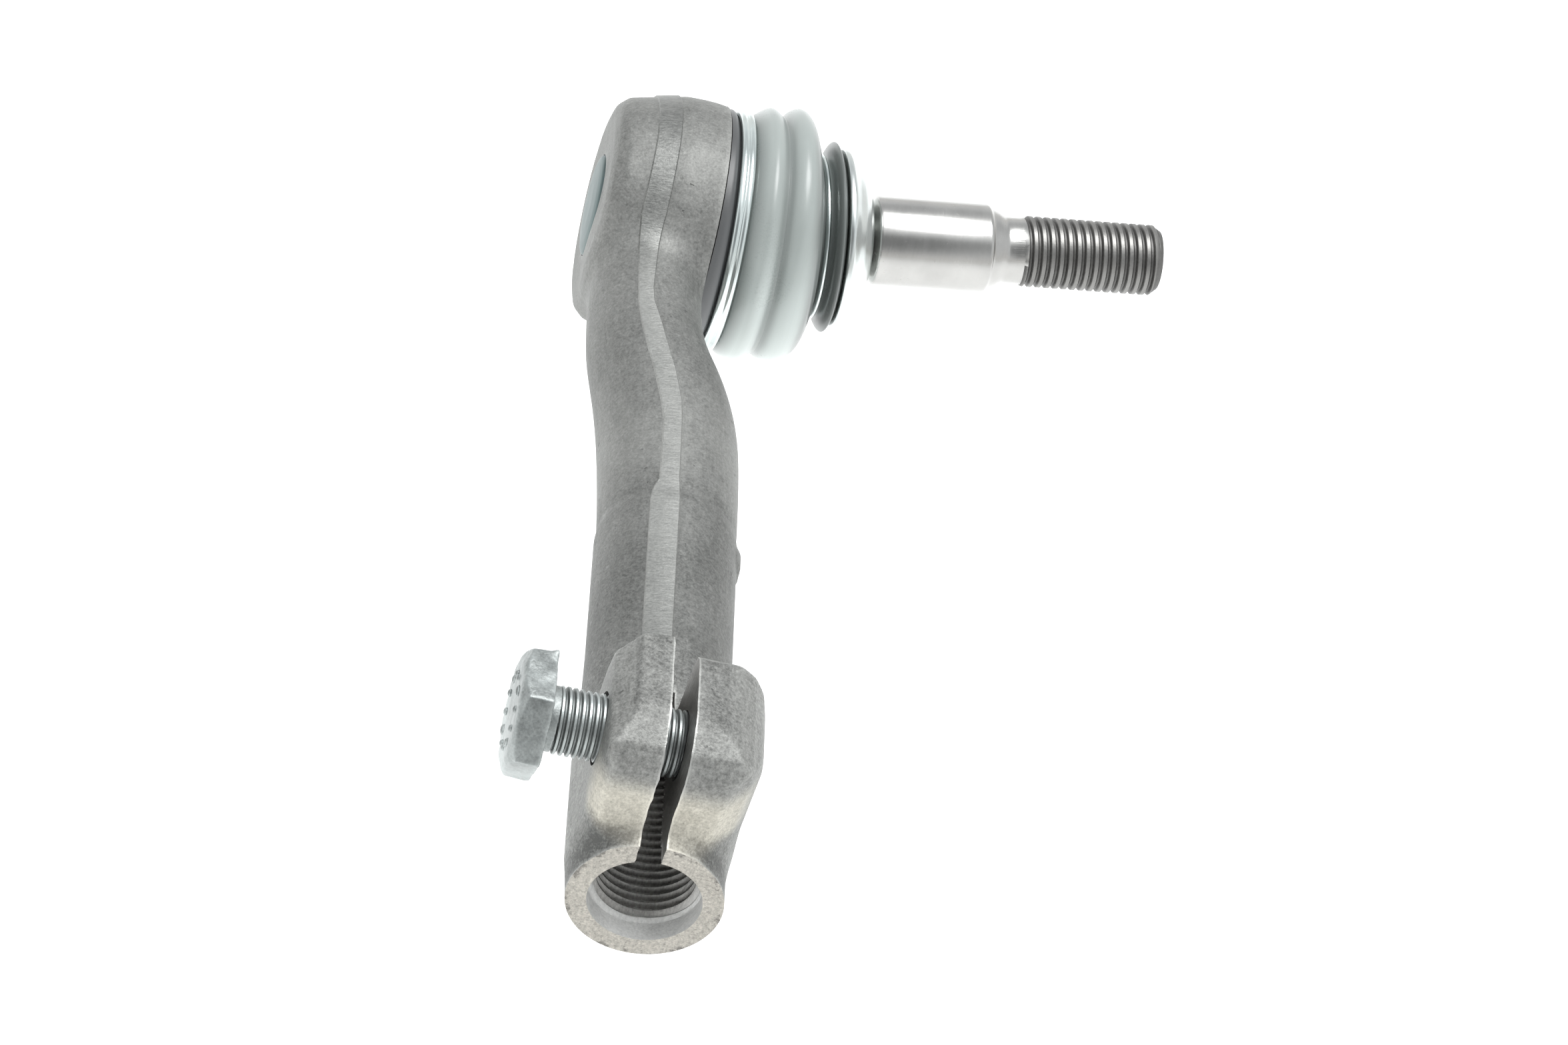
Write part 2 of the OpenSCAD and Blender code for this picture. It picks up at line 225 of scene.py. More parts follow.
class Finish:
    """A material, or any other node tree, that is filled with nodes."""

    def __init__(self, name, tree=None):
        self.material = None
        if tree is None:
            self.material = bpy.data.materials.new(name)
            self.material.use_nodes = True
            tree = self.material.node_tree
            self.shader = tree.nodes["Principled BSDF"]
        self.tree = tree
        self.count = 0

    def node(self, kind, settings=None, inputs=None, output=0):
        """One node: its settings first, then the values or links of its sockets; gives back one of its outputs."""
        node = self.tree.nodes.new(kind)
        node.location = (-200 * (self.count % 12) - 300, -180 * (self.count // 12))
        self.count += 1
        for key, value in (settings or {}).items():
            if key == "stops":
                ramp = node.color_ramp
                while len(ramp.elements) < len(value):
                    ramp.elements.new(0.5)
                for element, (place, colour) in zip(ramp.elements, value):
                    element.position, element.color = place, (*colour, 1)
            else:
                setattr(node, key, value)
        for key, value in (inputs or {}).items():
            self.join(value, node.inputs[key])
        return Wire(self, node.outputs[output])

    def join(self, value, socket):
        if isinstance(value, Wire):
            self.tree.links.new(value.socket, socket)
        elif isinstance(value, (tuple, list)) and len(value) == 3 and socket.type == "RGBA":
            socket.default_value = (*value, 1)
        else:
            socket.default_value = value

    def place(self):
        return self.node("ShaderNodeTexCoord", {}, {}, "Object")

    def axes(self, vector):
        first = self.node("ShaderNodeSeparateXYZ", {}, {0: vector})
        return [Wire(self, first.socket.node.outputs[k]) for k in range(3)]

    def stretched(self, vector, scale, turn=(0, 0, 0), shift=(0, 0, 0)):
        return self.node("ShaderNodeMapping", {},
                         {"Vector": vector, "Scale": scale, "Rotation": turn, "Location": shift})

    def noise(self, vector, scale, detail=3.0, roughness=0.55, distortion=0.0):
        return self.node("ShaderNodeTexNoise", {}, {"Vector": vector, "Scale": scale, "Detail": detail,
                                                    "Roughness": roughness, "Distortion": distortion})

    def mix(self, share, first, second):
        return self.node("ShaderNodeMix", {"data_type": "RGBA"}, {0: share, 6: first, 7: second}, 2)

    def ramp(self, share, *stops):
        return self.node("ShaderNodeValToRGB", {"stops": stops}, {0: share})

    def bump(self, height, distance, strength=1.0, under=None):
        inputs = {"Strength": strength, "Distance": distance, "Height": height}
        if under is not None:
            inputs["Normal"] = under
        return self.node("ShaderNodeBump", {}, inputs)

    def finish(self, **sockets):
        """Sets the surface shader's sockets; underscores in a name stand for spaces."""
        for key, value in sockets.items():
            self.join(value, self.shader.inputs[key.replace("_", " ")])
        return self.material


# ---------------------------------------------------------------- finishes

def forged_finish(sizes):
    """Shot-blasted forging: fine grain, soft patches, scuffs, and bright bruised edges along the cuts; light and shade
    are painted in by position along the arm, on the ear tops, above the mouth and on the lower front of the ears.
    """
    f = Finish("Forged_aluminium")
    place = f.place()
    x, y, z = f.axes(place)
    grain = f.noise(place, 2700, 3.0, 0.65)
    coarse = f.noise(place, 1150, 3.0, 0.6)
    patches = f.noise(place, 95, 5.0, 0.62)
    cloud = f.noise(place, 30, 3.0, 0.5)
    drag = f.noise(f.stretched(place, (900, 110, 900)), 1.0, 3.0, 0.6)
    scuffs = f.noise(place, 420, 4.0, 0.7).between(0.6, 0.74)
    pits = f.noise(f.stretched(place, (1, 1, 1), shift=(0.03, 0.01, 0.02)), 700, 2.0, 0.5).between(0.7, 0.78)
    edge = f.node("ShaderNodeAttribute", {"attribute_name": "edge"}, {}, "Fac")
    near_ears = y.between(0.045, 0.03)
    slot_edge = (x - SLOT_LEFT * MM).size().least((x - SLOT_RIGHT * MM).size()).between(0.00035, 0.0001) \
        * y.between(0.0325, 0.031) * z.between(0.0, 0.004)
    mouth_edge = y.between(0.0005, 0.0001)
    # painted light and shade along the arm, from the mouth to the joint: the skin is set lighter or darker by position
    level = f.ramp(y / 0.18, *[(place / 180, (value,) * 3) for place, value in
                               ((0, 0.5), (26, 0.46), (33, 0.18), (54, 0.15), (66, 0.25), (76, 0.28),
                                (79, 0.4), (90, 0.45),
                                (106, 0.27), (125, 0.33), (150, 0.36))])
    # painted shade: the flat tops of the ears are darkened
    ear_top_painted_shade = z.between(0.0262, 0.0268) * 0.22
    # painted shadow on the top of the barrel just above the mouth
    above_mouth_painted_shadow = y.between(0.006, 0.002) * z.between(0.013, 0.0105) * 0.4
    tone = level - ear_top_painted_shade - above_mouth_painted_shadow + (patches - 0.5) * 0.45 + (cloud - 0.5) * 0.35 + (drag - 0.5) * 0.25 \
        + (coarse - 0.5) * (0.55 + 0.35 * near_ears) + (grain - 0.5) * (0.75 + 0.5 * near_ears)
    tone = (tone + scuffs * 0.2 + edge * 0.3 + slot_edge * 0.7 + mouth_edge * 0.4 - pits * 0.35).capped()
    colour = f.mix(tone, tuple(sizes.dark), tuple(sizes.light))
    # painted light: a paler, warmer copy of the skin colour, mixed onto the lower front of the ears
    blasted = f.mix((tone + 0.25).capped(), (0.22, 0.205, 0.17), (0.7, 0.67, 0.585))
    front = z.between(0.0215, 0.0165) * z.between(0.009, 0.0125) * y.between(0.0125, 0.004)
    front_painted_light = f.mix(front * 0.9, colour, blasted)
    rough = (0.56 + (coarse - 0.5) * 0.25 - scuffs * 0.08 - slot_edge * 0.15).capped()
    skin = grain * (0.35 + 0.65 * near_ears) + coarse * (0.5 + 0.7 * near_ears) + patches * 0.8 - pits * 0.8
    return f.finish(Base_Color=front_painted_light, Metallic=0.55, Roughness=rough, Normal=f.bump(skin, 0.00012, 0.55))


def parting_finish(sizes):
    """Trimmed parting strip: paler, with fine marks across it from the trimming die, and painted shade that darkens it
    near the mouth and towards the head.
    """
    f = Finish("Parting_strip")
    place = f.place()
    along = f.axes(place)[1]
    across = f.noise(f.stretched(place, (260, 3600, 3600)), 1.0, 3.0, 0.65)
    grain = f.noise(place, 3000, 2.0, 0.6)
    patches = f.noise(place, 130, 4.0, 0.6)
    # painted shade: the strip is darker near the mouth and towards the head
    tone = (0.62 - along.between(0.085, 0.03) * 0.24 - along.between(0.118, 0.138) * 0.34 + (across - 0.5) * 0.9
            + (grain - 0.5) * 0.5 + (patches - 0.5) * 0.6).capped()
    colour = f.mix(tone, (0.13, 0.133, 0.128), tuple(c * 1.08 for c in sizes.light))
    return f.finish(Base_Color=colour, Metallic=0.6, Roughness=(0.42 + (grain - 0.5) * 0.2).capped(),
                    Normal=f.bump(across + grain * 0.5, 0.00008, 0.6))


def cut_finish():
    """Milled slot, bored socket and drilled holes: darker, with tool lines, and painted light that makes the
    counterbore wall near the mouth pale.
    """
    f = Finish("Milled_cuts")
    place = f.place()
    y, z = f.axes(place)[1:]
    slot_lines = f.noise(f.stretched(place, (2600, 2600, 120), turn=(0.25, 0, 0)), 1.0, 3.0, 0.6)
    grain = f.noise(place, 3600, 3.0, 0.6)
    patches = f.noise(place, 240, 4.0, 0.6)
    # painted light: the counterbore wall near the mouth is paler and less metallic
    mouth = y.between(0.0045, 0.0034) * z.between(0.0095, 0.0075)
    tone = (0.42 + (slot_lines - 0.5) * 0.9 + (patches - 0.5) * 0.5 + (grain - 0.5) * 0.55 + mouth * 0.3).capped()
    colour = f.mix(tone, (0.12, 0.117, 0.11), (0.56, 0.55, 0.53))
    colour = f.mix(mouth * 0.85, colour, f.mix(tone, (0.45, 0.45, 0.44), (0.95, 0.95, 0.93)))
    return f.finish(Base_Color=colour, Metallic=(0.7 - mouth * 0.6).capped(),
                    Roughness=(0.38 + (grain - 0.5) * 0.3).capped(),
                    Normal=f.bump(slot_lines * 0.6 + grain, 0.00006, 0.6))


def face_finish(sizes):
    """Sawn mouth face: creamy, coarse speckle, with dark nicks near its outer edge."""
    f = Finish("Sawn_face")
    place = f.place()
    x, _, z = f.axes(place)
    grain = f.noise(place, 3300, 3.0, 0.65)
    speckle = f.noise(place, 1500, 3.0, 0.6)
    patches = f.noise(place, 260, 4.0, 0.6)
    squared = x * x + z * z
    from_axis = squared.math("SQRT", squared)
    nicks = from_axis.between(0.0102, 0.0113) * f.noise(place, 520, 3.0, 0.7).between(0.52, 0.66)
    tone = (0.6 + (grain - 0.5) * 1.5 + (speckle - 0.5) * 1.4 + (patches - 0.5) * 0.5 - nicks * 0.8).capped()
    colour = f.mix(tone, (0.2, 0.19, 0.17), tuple(sizes.face))
    return f.finish(Base_Color=colour, Metallic=0.35, Roughness=0.5,
                    Normal=f.bump(grain + speckle * 0.8 - nicks, 0.00012, 0.7))


def rubber_finish(name, colour, gloss=0.3):
    """Smooth moulded rubber with a soft bloom and faint scuffing, and painted light and shade: paler low down, darker
    in the fold valleys and at the far end.
    """
    f = Finish(name)
    place = f.place()
    bloom = f.noise(place, 70, 4.0, 0.55)
    grain = f.noise(place, 2600, 3.0, 0.6)
    streak = f.noise(f.stretched(place, (900, 120, 120)), 1.0, 2.0, 0.5)
    tone = (0.5 + (bloom - 0.5) * 1.0 + (streak - 0.5) * 0.35 + (grain - 0.5) * 0.15).capped()
    tint = f.mix(tone, tuple(c * 0.86 for c in colour), tuple(min(1, c * 1.12) for c in colour))
    x, _, z = f.axes(place)
    hollow = f.node("ShaderNodeAttribute", {"attribute_name": "hollow"}, {}, "Fac")
    # painted light: the lower part is made paler
    tint = f.mix(z.between(0.018, 0.0) * 0.85, tint, tuple(min(1, c * 2.0) for c in colour))
    # painted shade: darker in the fold valleys
    tint = f.mix(hollow * 0.75, tint, tuple(c * 0.42 for c in colour))
    # painted shade: darker past about 20 mm along x, at the boot's far end
    tint = f.mix(x.between(0.02, 0.0225) * 0.85, tint, tuple(c * 0.34 for c in colour))
    return f.finish(Base_Color=tint, Roughness=(gloss + (bloom - 0.5) * 0.16 + (grain - 0.5) * 0.08).capped(),
                    Specular_IOR_Level=0.5, Coat_Weight=0.25, Coat_Roughness=0.3,
                    Normal=f.bump(grain + bloom * 0.6, 0.00003, 0.35))


def bright_finish(name, colour, roughness, lines=0.3, dirt=0.25):
    """Plated or ground steel: turned lines round it, a little haze and the odd dark spot."""
    f = Finish(name)
    place = f.place()
    haze = f.noise(place, 160, 4.0, 0.6)
    turned_lines = f.noise(f.stretched(place, (5200, 260, 260)), 1.0, 3.0, 0.6)
    spots = f.noise(place, 900, 3.0, 0.7).between(0.66, 0.76)
    tone = (0.62 + (haze - 0.5) * 0.9 + (turned_lines - 0.5) * lines - spots * dirt).capped()
    tint = f.mix(tone, tuple(c * 0.68 for c in colour), tuple(min(1, c * 1.06) for c in colour))
    rough = (roughness + (haze - 0.5) * 0.12 + (turned_lines - 0.5) * 0.1 + spots * 0.1).capped()
    return f.finish(Base_Color=tint, Metallic=1.0, Roughness=rough,
                    Normal=f.bump(turned_lines, 0.00002, lines * 0.5))


def thread_finish(name, colour, crest, root, along, centre):
    """Rolled thread: painted shade darkens the roots, and the crests are paler, partly from wear and partly as painted
    highlight; told apart by the distance from its axis.
    """
    f = Finish(name)
    place = f.place()
    from_centre = f.node("ShaderNodeVectorMath", {"operation": "SUBTRACT"}, {0: place, 1: tuple(centre)})
    offset = f.node("ShaderNodeVectorMath", {"operation": "CROSS_PRODUCT"}, {0: from_centre, 1: tuple(along)})
    radius = f.node("ShaderNodeVectorMath", {"operation": "LENGTH"}, {0: offset}, "Value")
    # share on the crests: painted highlight and wear; the roots, where it is low, carry painted shade
    worn = radius.between(root + (crest - root) * 0.55, crest)
    haze = f.noise(place, 220, 4.0, 0.6)
    grain = f.noise(place, 3000, 3.0, 0.6)
    tone = (0.24 + worn * 0.5 + (haze - 0.5) * 0.7 + (grain - 0.5) * 0.35).capped()
    tint = f.mix(tone, tuple(c * 0.42 for c in colour), tuple(min(1, c * 1.5) for c in colour))
    return f.finish(Base_Color=tint, Metallic=0.8, Roughness=(0.5 - worn * 0.1 + (grain - 0.5) * 0.2).capped(),
                    Normal=f.bump(grain, 0.00004, 0.5))


def zinc_finish(sizes):
    """Rough zinc on a forged hexagon head: blotchy blue-grey with pale worn edges and small dents, with painted light
    that makes the head paler low down and darker on top.
    """
    f = Finish("Rough_zinc")
    place = f.place()
    x, _, z = f.axes(place)
    blotches = f.noise(place, 300, 5.0, 0.65)
    cloud = f.noise(place, 110, 3.0, 0.6)
    grain = f.noise(place, 2600, 3.0, 0.6)
    cracks = f.node("ShaderNodeTexNoise", {"noise_type": "RIDGED_MULTIFRACTAL"},
                    {"Vector": place, "Scale": 330, "Detail": 3.0}).between(0.9, 1.5)
    edge = f.node("ShaderNodeAttribute", {"attribute_name": "edge"}, {}, "Fac")
    # painted light: the lower part of the head is paler; painted shade darkens its top a little
    low = z.between((BOLT_Z + 1) * MM, (BOLT_Z - 5) * MM)
    marks = x.between((BOLT_FACE + 0.25) * MM, (BOLT_FACE + 0.13) * MM)
    face = x.between((BOLT_FACE + 0.8) * MM, (BOLT_FACE + 0.45) * MM)
    tone = (0.4 + (blotches - 0.5) * 1.2 + (cloud - 0.5) * 0.6 + (grain - 0.5) * 0.8 - cracks * 0.2
            + edge * 0.4 + low * 0.4 - z.between((BOLT_Z + 2) * MM, (BOLT_Z + 6) * MM) * 0.12
            + face * 0.1 - marks * 0.7).capped()
    colour = tuple(sizes.colour)
    tint = f.mix(tone, tuple(c * 0.6 for c in colour), tuple(min(1, c * 1.8) for c in colour))
    return f.finish(Base_Color=tint, Metallic=0.6, Roughness=(0.42 + (blotches - 0.5) * 0.3).capped(),
                    Normal=f.bump(blotches + grain * 0.4 - cracks * 0.3, 0.00016, 0.6))


def plain_finish(name, colour, metallic, roughness, scale=400):
    """A quiet finish for the pieces inside the joint, with a little grain of its own."""
    f = Finish(name)
    place = f.place()
    patches = f.noise(place, scale, 4.0, 0.6)
    grain = f.noise(place, scale * 8, 2.0, 0.6)
    tone = (0.5 + (patches - 0.5) * 0.8 + (grain - 0.5) * 0.3).capped()
    tint = f.mix(tone, tuple(c * 0.75 for c in colour), tuple(min(1, c * 1.1) for c in colour))
    return f.finish(Base_Color=tint, Metallic=metallic, Roughness=(roughness + (patches - 0.5) * 0.15).capped(),
                    Normal=f.bump(grain, 0.00003, 0.4))


# ---------------------------------------------------------------- shape helpers

def outline_distance(outline, a, b):
    """Distance of the points (a, b) from a closed outline, negative inside it."""
    inside = np.zeros(a.shape, bool)
    nearest = np.full(a.shape, 1e9)
    for (a0, b0), (a1, b1) in zip(outline, outline[1:] + outline[:1]):
        ea, eb = a1 - a0, b1 - b0
        t = np.clip(((a - a0) * ea + (b - b0) * eb) / (ea * ea + eb * eb), 0, 1)
        nearest = np.minimum(nearest, (a - a0 - t * ea) ** 2 + (b - b0 - t * eb) ** 2)
        if eb:
            inside ^= ((b0 <= b) != (b1 <= b)) & (a < a0 + (b - b0) * ea / eb)
    return np.where(inside, -1, 1) * np.sqrt(nearest)


def melt(a, b, size):
    """The lesser of two distances, with a fillet of about that size where they meet."""
    h = np.clip(0.5 + 0.5 * (b - a) / size, 0, 1)
    return b * (1 - h) + a * h - size * h * (1 - h)


def meet(a, b, size):
    """The greater of two distances, with a rounded edge."""
    return -melt(-a, -b, size)


def smooth_stations():
    """The arm's stations at every quarter millimetre, eased where the arm bends."""
    grid = np.arange(-3, 150, 0.25)
    table = np.array(ARM, float)
    kernel = np.bartlett(35)
    kernel /= kernel.sum()
    columns = []
    for k in (1, 2, 3):
        plain = np.interp(grid, table[:, 0], table[:, k])
        eased = np.convolve(np.pad(plain, 17, "edge"), kernel, "valid")
        columns.append(np.where(grid > 80, eased, plain))
    return grid, columns


STATIONS, STATION_COLUMNS = smooth_stations()


def forging(p):
    """Distance in millimetres of points from the uncut forging, negative inside it."""
    x, y, z = p[:, 0], p[:, 1], p[:, 2]
    middle, half_x, half_z = (np.interp(y, STATIONS, column) for column in STATION_COLUMNS)
    arm = (np.sqrt(((x - middle) / half_x) ** 2 + (z / half_z) ** 2) - 1) * np.minimum(half_x, half_z)
    arm = np.maximum(arm, np.maximum(y - 145, -1.6 - y))
    head = outline_distance(HEAD, np.hypot(y - BALL[1], z), x - BALL[0])
    side = np.where(x < -1.5, outline_distance(LEFT_EAR, y, z), outline_distance(RIGHT_EAR, y, z))
    ears = meet(meet(side, outline_distance(EAR_FRONT, x, z), 0.25), outline_distance(EAR_TOP, x, y), 0.35)
    along, up, radius, out = STAMP
    stamp = np.maximum(np.hypot(y - along, z - up) - radius, np.maximum(x - out, 8 - x))
    return melt(melt(melt(arm, head, 3.6), ears, 3.0), stamp, 0.5)


def slope(field, p, f, step=0.04):
    g = np.empty_like(p)
    for k in range(3):
        q = p.copy()
        q[:, k] += step
        g[:, k] = (field(q) - f) / step
    return g


def points_of(mesh):
    co = np.empty(len(mesh.vertices) * 3)
    mesh.vertices.foreach_get("co", co)
    return co.reshape(-1, 3) / MM


def move_points(mesh, p):
    mesh.vertices.foreach_set("co", (p * MM).ravel())
    mesh.update()


def new_piece(name, bm):
    """A mesh object from a bmesh that is in metres and in place."""
    mesh = bpy.data.meshes.new(name)
    bm.to_mesh(mesh)
    bm.free()
    piece = bpy.data.objects.new(name, mesh)
    bpy.context.scene.collection.objects.link(piece)
    return piece


def settle(piece):
    """Applies the piece's modifiers."""
    bpy.context.view_layer.update()
    graph = bpy.context.evaluated_depsgraph_get()
    mesh = bpy.data.meshes.new_from_object(piece.evaluated_get(graph))
    piece.modifiers.clear()
    piece.data = mesh
    mesh.name = piece.name
    return piece


def cut(piece, tool, operation="DIFFERENCE"):
    """One boolean with a closed tool, which is then thrown away."""
    joiner = piece.modifiers.new("Cut", "BOOLEAN")
    joiner.operation, joiner.solver, joiner.object = operation, "MANIFOLD", tool
    settle(piece)
    bpy.data.objects.remove(tool)
    if not len(piece.data.polygons):
        raise RuntimeError(f"nothing is left of {piece.name} after a cut")
    return piece


def joined(pieces):
    """One object from several that don't touch."""
    bm = bmesh.new()
    for piece in pieces:
        bm.from_mesh(piece.data)
    name = pieces[0].name
    for piece in pieces:
        bpy.data.objects.remove(piece)
    return new_piece(name, bm)


def close(bm):
    """Merges doubles, closes open rims and points every face outwards."""
    bmesh.ops.remove_doubles(bm, verts=bm.verts, dist=2e-6)
    rims = [e for e in bm.edges if e.is_boundary]
    if rims:
        bmesh.ops.holes_fill(bm, edges=rims, sides=0)
    bmesh.ops.recalc_face_normals(bm, faces=bm.faces)


def softened(outline, radius, closed=True, cuts=3):
    """The outline with each corner rounded off by a short curve."""
    points = [Vector(p) for p in outline]
    out = []
    for k, corner in enumerate(points):
        if not closed and k in (0, len(points) - 1):
            out.append(tuple(corner))
            continue
        before, after = points[k - 1], points[(k + 1) % len(points)]
        back, on = before - corner, after - corner
        if min(corner[0], before[0], after[0]) <= 0 and corner[0] <= 0:
            out.append(tuple(corner))
            continue
        start = corner + back.normalized() * min(radius, back.length * 0.45)
        end = corner + on.normalized() * min(radius, on.length * 0.45)
        for step in range(cuts + 1):
            t = step / cuts
            out.append(tuple(start * (1 - t) ** 2 + corner * 2 * t * (1 - t) + end * t * t))
    return out


def turned(name, outline, steps=128, matrix=None, closed=True):
    """A piece turned about the X axis from an outline of (radius, distance along) in millimetres."""
    bm = bmesh.new()
    corners = [bm.verts.new((along * MM, radius * MM, 0)) for radius, along in outline]
    sides = [bm.edges.new(pair) for pair in zip(corners, corners[1:])]
    if closed:
        sides.append(bm.edges.new((corners[-1], corners[0])))
    bmesh.ops.spin(bm, geom=corners + sides, cent=(0, 0, 0), axis=(1, 0, 0), dvec=(0, 0, 0), angle=TAU,
                   steps=steps, use_merge=True)
    bmesh.ops.remove_doubles(bm, verts=bm.verts, dist=2e-6)
    bmesh.ops.delete(bm, geom=[f for f in bm.faces if f.calc_area() < 1e-14], context="FACES_ONLY")
    close(bm)
    if matrix is not None:
        bmesh.ops.transform(bm, matrix=matrix, verts=bm.verts)
    return new_piece(name, bm)


def threaded(name, start, end, pitch, crest, root, trim, steps=72, matrix=None, flat=0.05):
    """A bar along X with a helical thread from start to end; trim(along, radius) gives each point's final radius."""
    bm = bmesh.new()
    reach = 0.4 - flat
    shape = [(0, root)] + [(0.1 + share * reach, root + (crest - root) * rise)
                           for share, rise in ((0, 0), (0.33, 0.25), (0.67, 0.75), (1, 1))]
    shape += [(1 - share, radius) for share, radius in reversed(shape)]
    first = start - 1.5 * pitch
    corners = [bm.verts.new((first + share * pitch, radius, 0)) for share, radius in shape]
    sides = [bm.edges.new(pair) for pair in zip(corners, corners[1:])]
    bmesh.ops.spin(bm, geom=corners + sides, cent=(0, 0, 0), axis=(1, 0, 0), dvec=(pitch / steps, 0, 0),
                   angle=TAU, steps=steps, use_merge=False)
    turn = bm.verts[:] + bm.edges[:] + bm.faces[:]
    for _ in range(math.ceil((end - first) / pitch + 0.5)):
        turn = bmesh.ops.duplicate(bm, geom=turn)["geom"]
        bmesh.ops.translate(bm, vec=(pitch, 0, 0), verts=[v for v in turn if isinstance(v, bmesh.types.BMVert)])
    bmesh.ops.remove_doubles(bm, verts=bm.verts, dist=0.004)
    for v in bm.verts:
        radius = math.hypot(v.co.y, v.co.z)
        new = trim(v.co.x, radius) / radius
        v.co.y *= new
        v.co.z *= new
    for place, way in ((start, -1), (end, 1)):
        bmesh.ops.bisect_plane(bm, geom=bm.verts[:] + bm.edges[:] + bm.faces[:], dist=1e-4, plane_co=(place, 0, 0),
                               plane_no=(way, 0, 0), clear_outer=True)
    rims = [e for e in bm.edges if e.is_boundary]
    bmesh.ops.holes_fill(bm, edges=rims, sides=0)
    bmesh.ops.recalc_face_normals(bm, faces=bm.faces)
    bmesh.ops.transform(bm, matrix=(matrix or Matrix.Identity(4)) @ Matrix.Scale(MM, 4), verts=bm.verts)
    return new_piece(name, bm)


def block(name, low, high, cuts=0):
    """A block between two corners, in millimetres."""
    bm = bmesh.new()
    bmesh.ops.create_cube(bm, size=1)
    low, high = Vector(low) * MM, Vector(high) * MM
    bmesh.ops.scale(bm, vec=high - low, verts=bm.verts)
    bmesh.ops.translate(bm, vec=(low + high) / 2, verts=bm.verts)
    if cuts:
        bmesh.ops.subdivide_edges(bm, edges=bm.edges[:], cuts=cuts, use_grid_fill=True)
    return new_piece(name, bm)


def lean(tilt, shift=0.0):
    """The place of a part that turns with the joint: tilted about the ball and pushed sideways the same way."""
    place = Matrix.Translation(Vector(BALL) * MM + LEAN_WAY * shift * MM)
    return place @ Matrix.Rotation(math.radians(tilt), 4, LEAN_AXIS)


def smooth(piece, angle=32):
    piece.data.shade_smooth()
    piece.data.set_sharp_from_angle(angle=math.radians(angle))
    return piece


def paint(piece, *materials):
    piece.data.materials.clear()
    for material in materials:
        piece.data.materials.append(material)
    return piece


def edge_share(piece, low, high, blur=1):
    """Stores how strongly each point sits on a convex edge, as the attribute 'edge'."""
    mesh = piece.data
    p = points_of(mesh)
    n = np.empty(len(mesh.vertices) * 3)
    mesh.vertex_normals.foreach_get("vector", n)
    n = n.reshape(-1, 3)
    ends = np.empty(len(mesh.edges) * 2, int)
    mesh.edges.foreach_get("vertices", ends)
    a, b = ends.reshape(-1, 2).T
    gap, turn = p[a] - p[b], n[a] - n[b]
    bend = (gap * turn).sum(1) / np.maximum((gap * gap).sum(1), 1e-6)
    total, count = np.zeros(len(p)), np.full(len(p), 1e-9)
    np.add.at(total, a, bend), np.add.at(total, b, bend)
    np.add.at(count, a, 1), np.add.at(count, b, 1)
    share = np.clip((total / count - low) / (high - low), 0, 1)
    for _ in range(blur):
        total, count = share.copy(), np.ones(len(p))
        np.add.at(total, a, share[b]), np.add.at(total, b, share[a])
        np.add.at(count, a, 1), np.add.at(count, b, 1)
        share = total / count
    layer = mesh.attributes.get("edge") or mesh.attributes.new("edge", "FLOAT", "POINT")
    layer.data.foreach_set("value", share.astype(np.float32))


# ---------------------------------------------------------------- housing

def rough_forging(grid):
    """Arm, head and ears as plain solids, fused on one even grid of points."""
    bm = bmesh.new()
    rings = []
    for along, middle, half_x, half_z in ARM:
        place = Matrix.Translation((middle * MM, along * MM, 0)) @ Matrix.Rotation(math.pi / 2, 4, "X") \
            @ Matrix.Diagonal((half_x * MM, half_z * MM, 1, 1))
        made = bmesh.ops.create_circle(bm, cap_ends=False, radius=1, segments=48, matrix=place)
        ring = made["verts"]
        edges = list({e for v in ring for e in v.link_edges if e.other_vert(v) in set(ring)})
        if rings:
            bmesh.ops.bridge_loops(bm, edges=rings[-1] + edges)
        rings.append(edges)
    close(bm)
    arm = new_piece("housing_skin", bm)
    head = turned("head", HEAD, 96, Matrix.Translation(Vector(BALL) * MM), closed=False)
    ears = None
    for outline, axes, depth in ((LEFT_EAR, "yz", (-13, 14)), (EAR_FRONT, "xz", (-1, 36)), (EAR_TOP, "xy", (-1, 29))):
        bm = bmesh.new()
        missing = ({"x", "y", "z"} - set(axes)).pop()
        corners = []
        for pair in outline:
            spot = {axes[0]: pair[0], axes[1]: pair[1], missing: depth[0]}
            corners.append(bm.verts.new((spot["x"] * MM, spot["y"] * MM, spot["z"] * MM)))
        sheet = bm.faces.new(corners)
        raised = bmesh.ops.extrude_face_region(bm, geom=[sheet])
        rise = Vector([(depth[1] - depth[0]) * MM if axis == missing else 0 for axis in "xyz"])
        bmesh.ops.translate(bm, vec=rise, verts=[v for v in raised["geom"] if isinstance(v, bmesh.types.BMVert)])
        bmesh.ops.triangulate(bm, faces=bm.faces[:])
        bmesh.ops.recalc_face_normals(bm, faces=bm.faces)
        solid = new_piece("ears", bm)
        ears = solid if ears is None else cut(ears, solid, "INTERSECT")
    whole = joined([arm, head, ears])
    fuse = whole.modifiers.new("Fuse", "REMESH")
    fuse.mode, fuse.voxel_size = "VOXEL", grid
    return settle(whole)


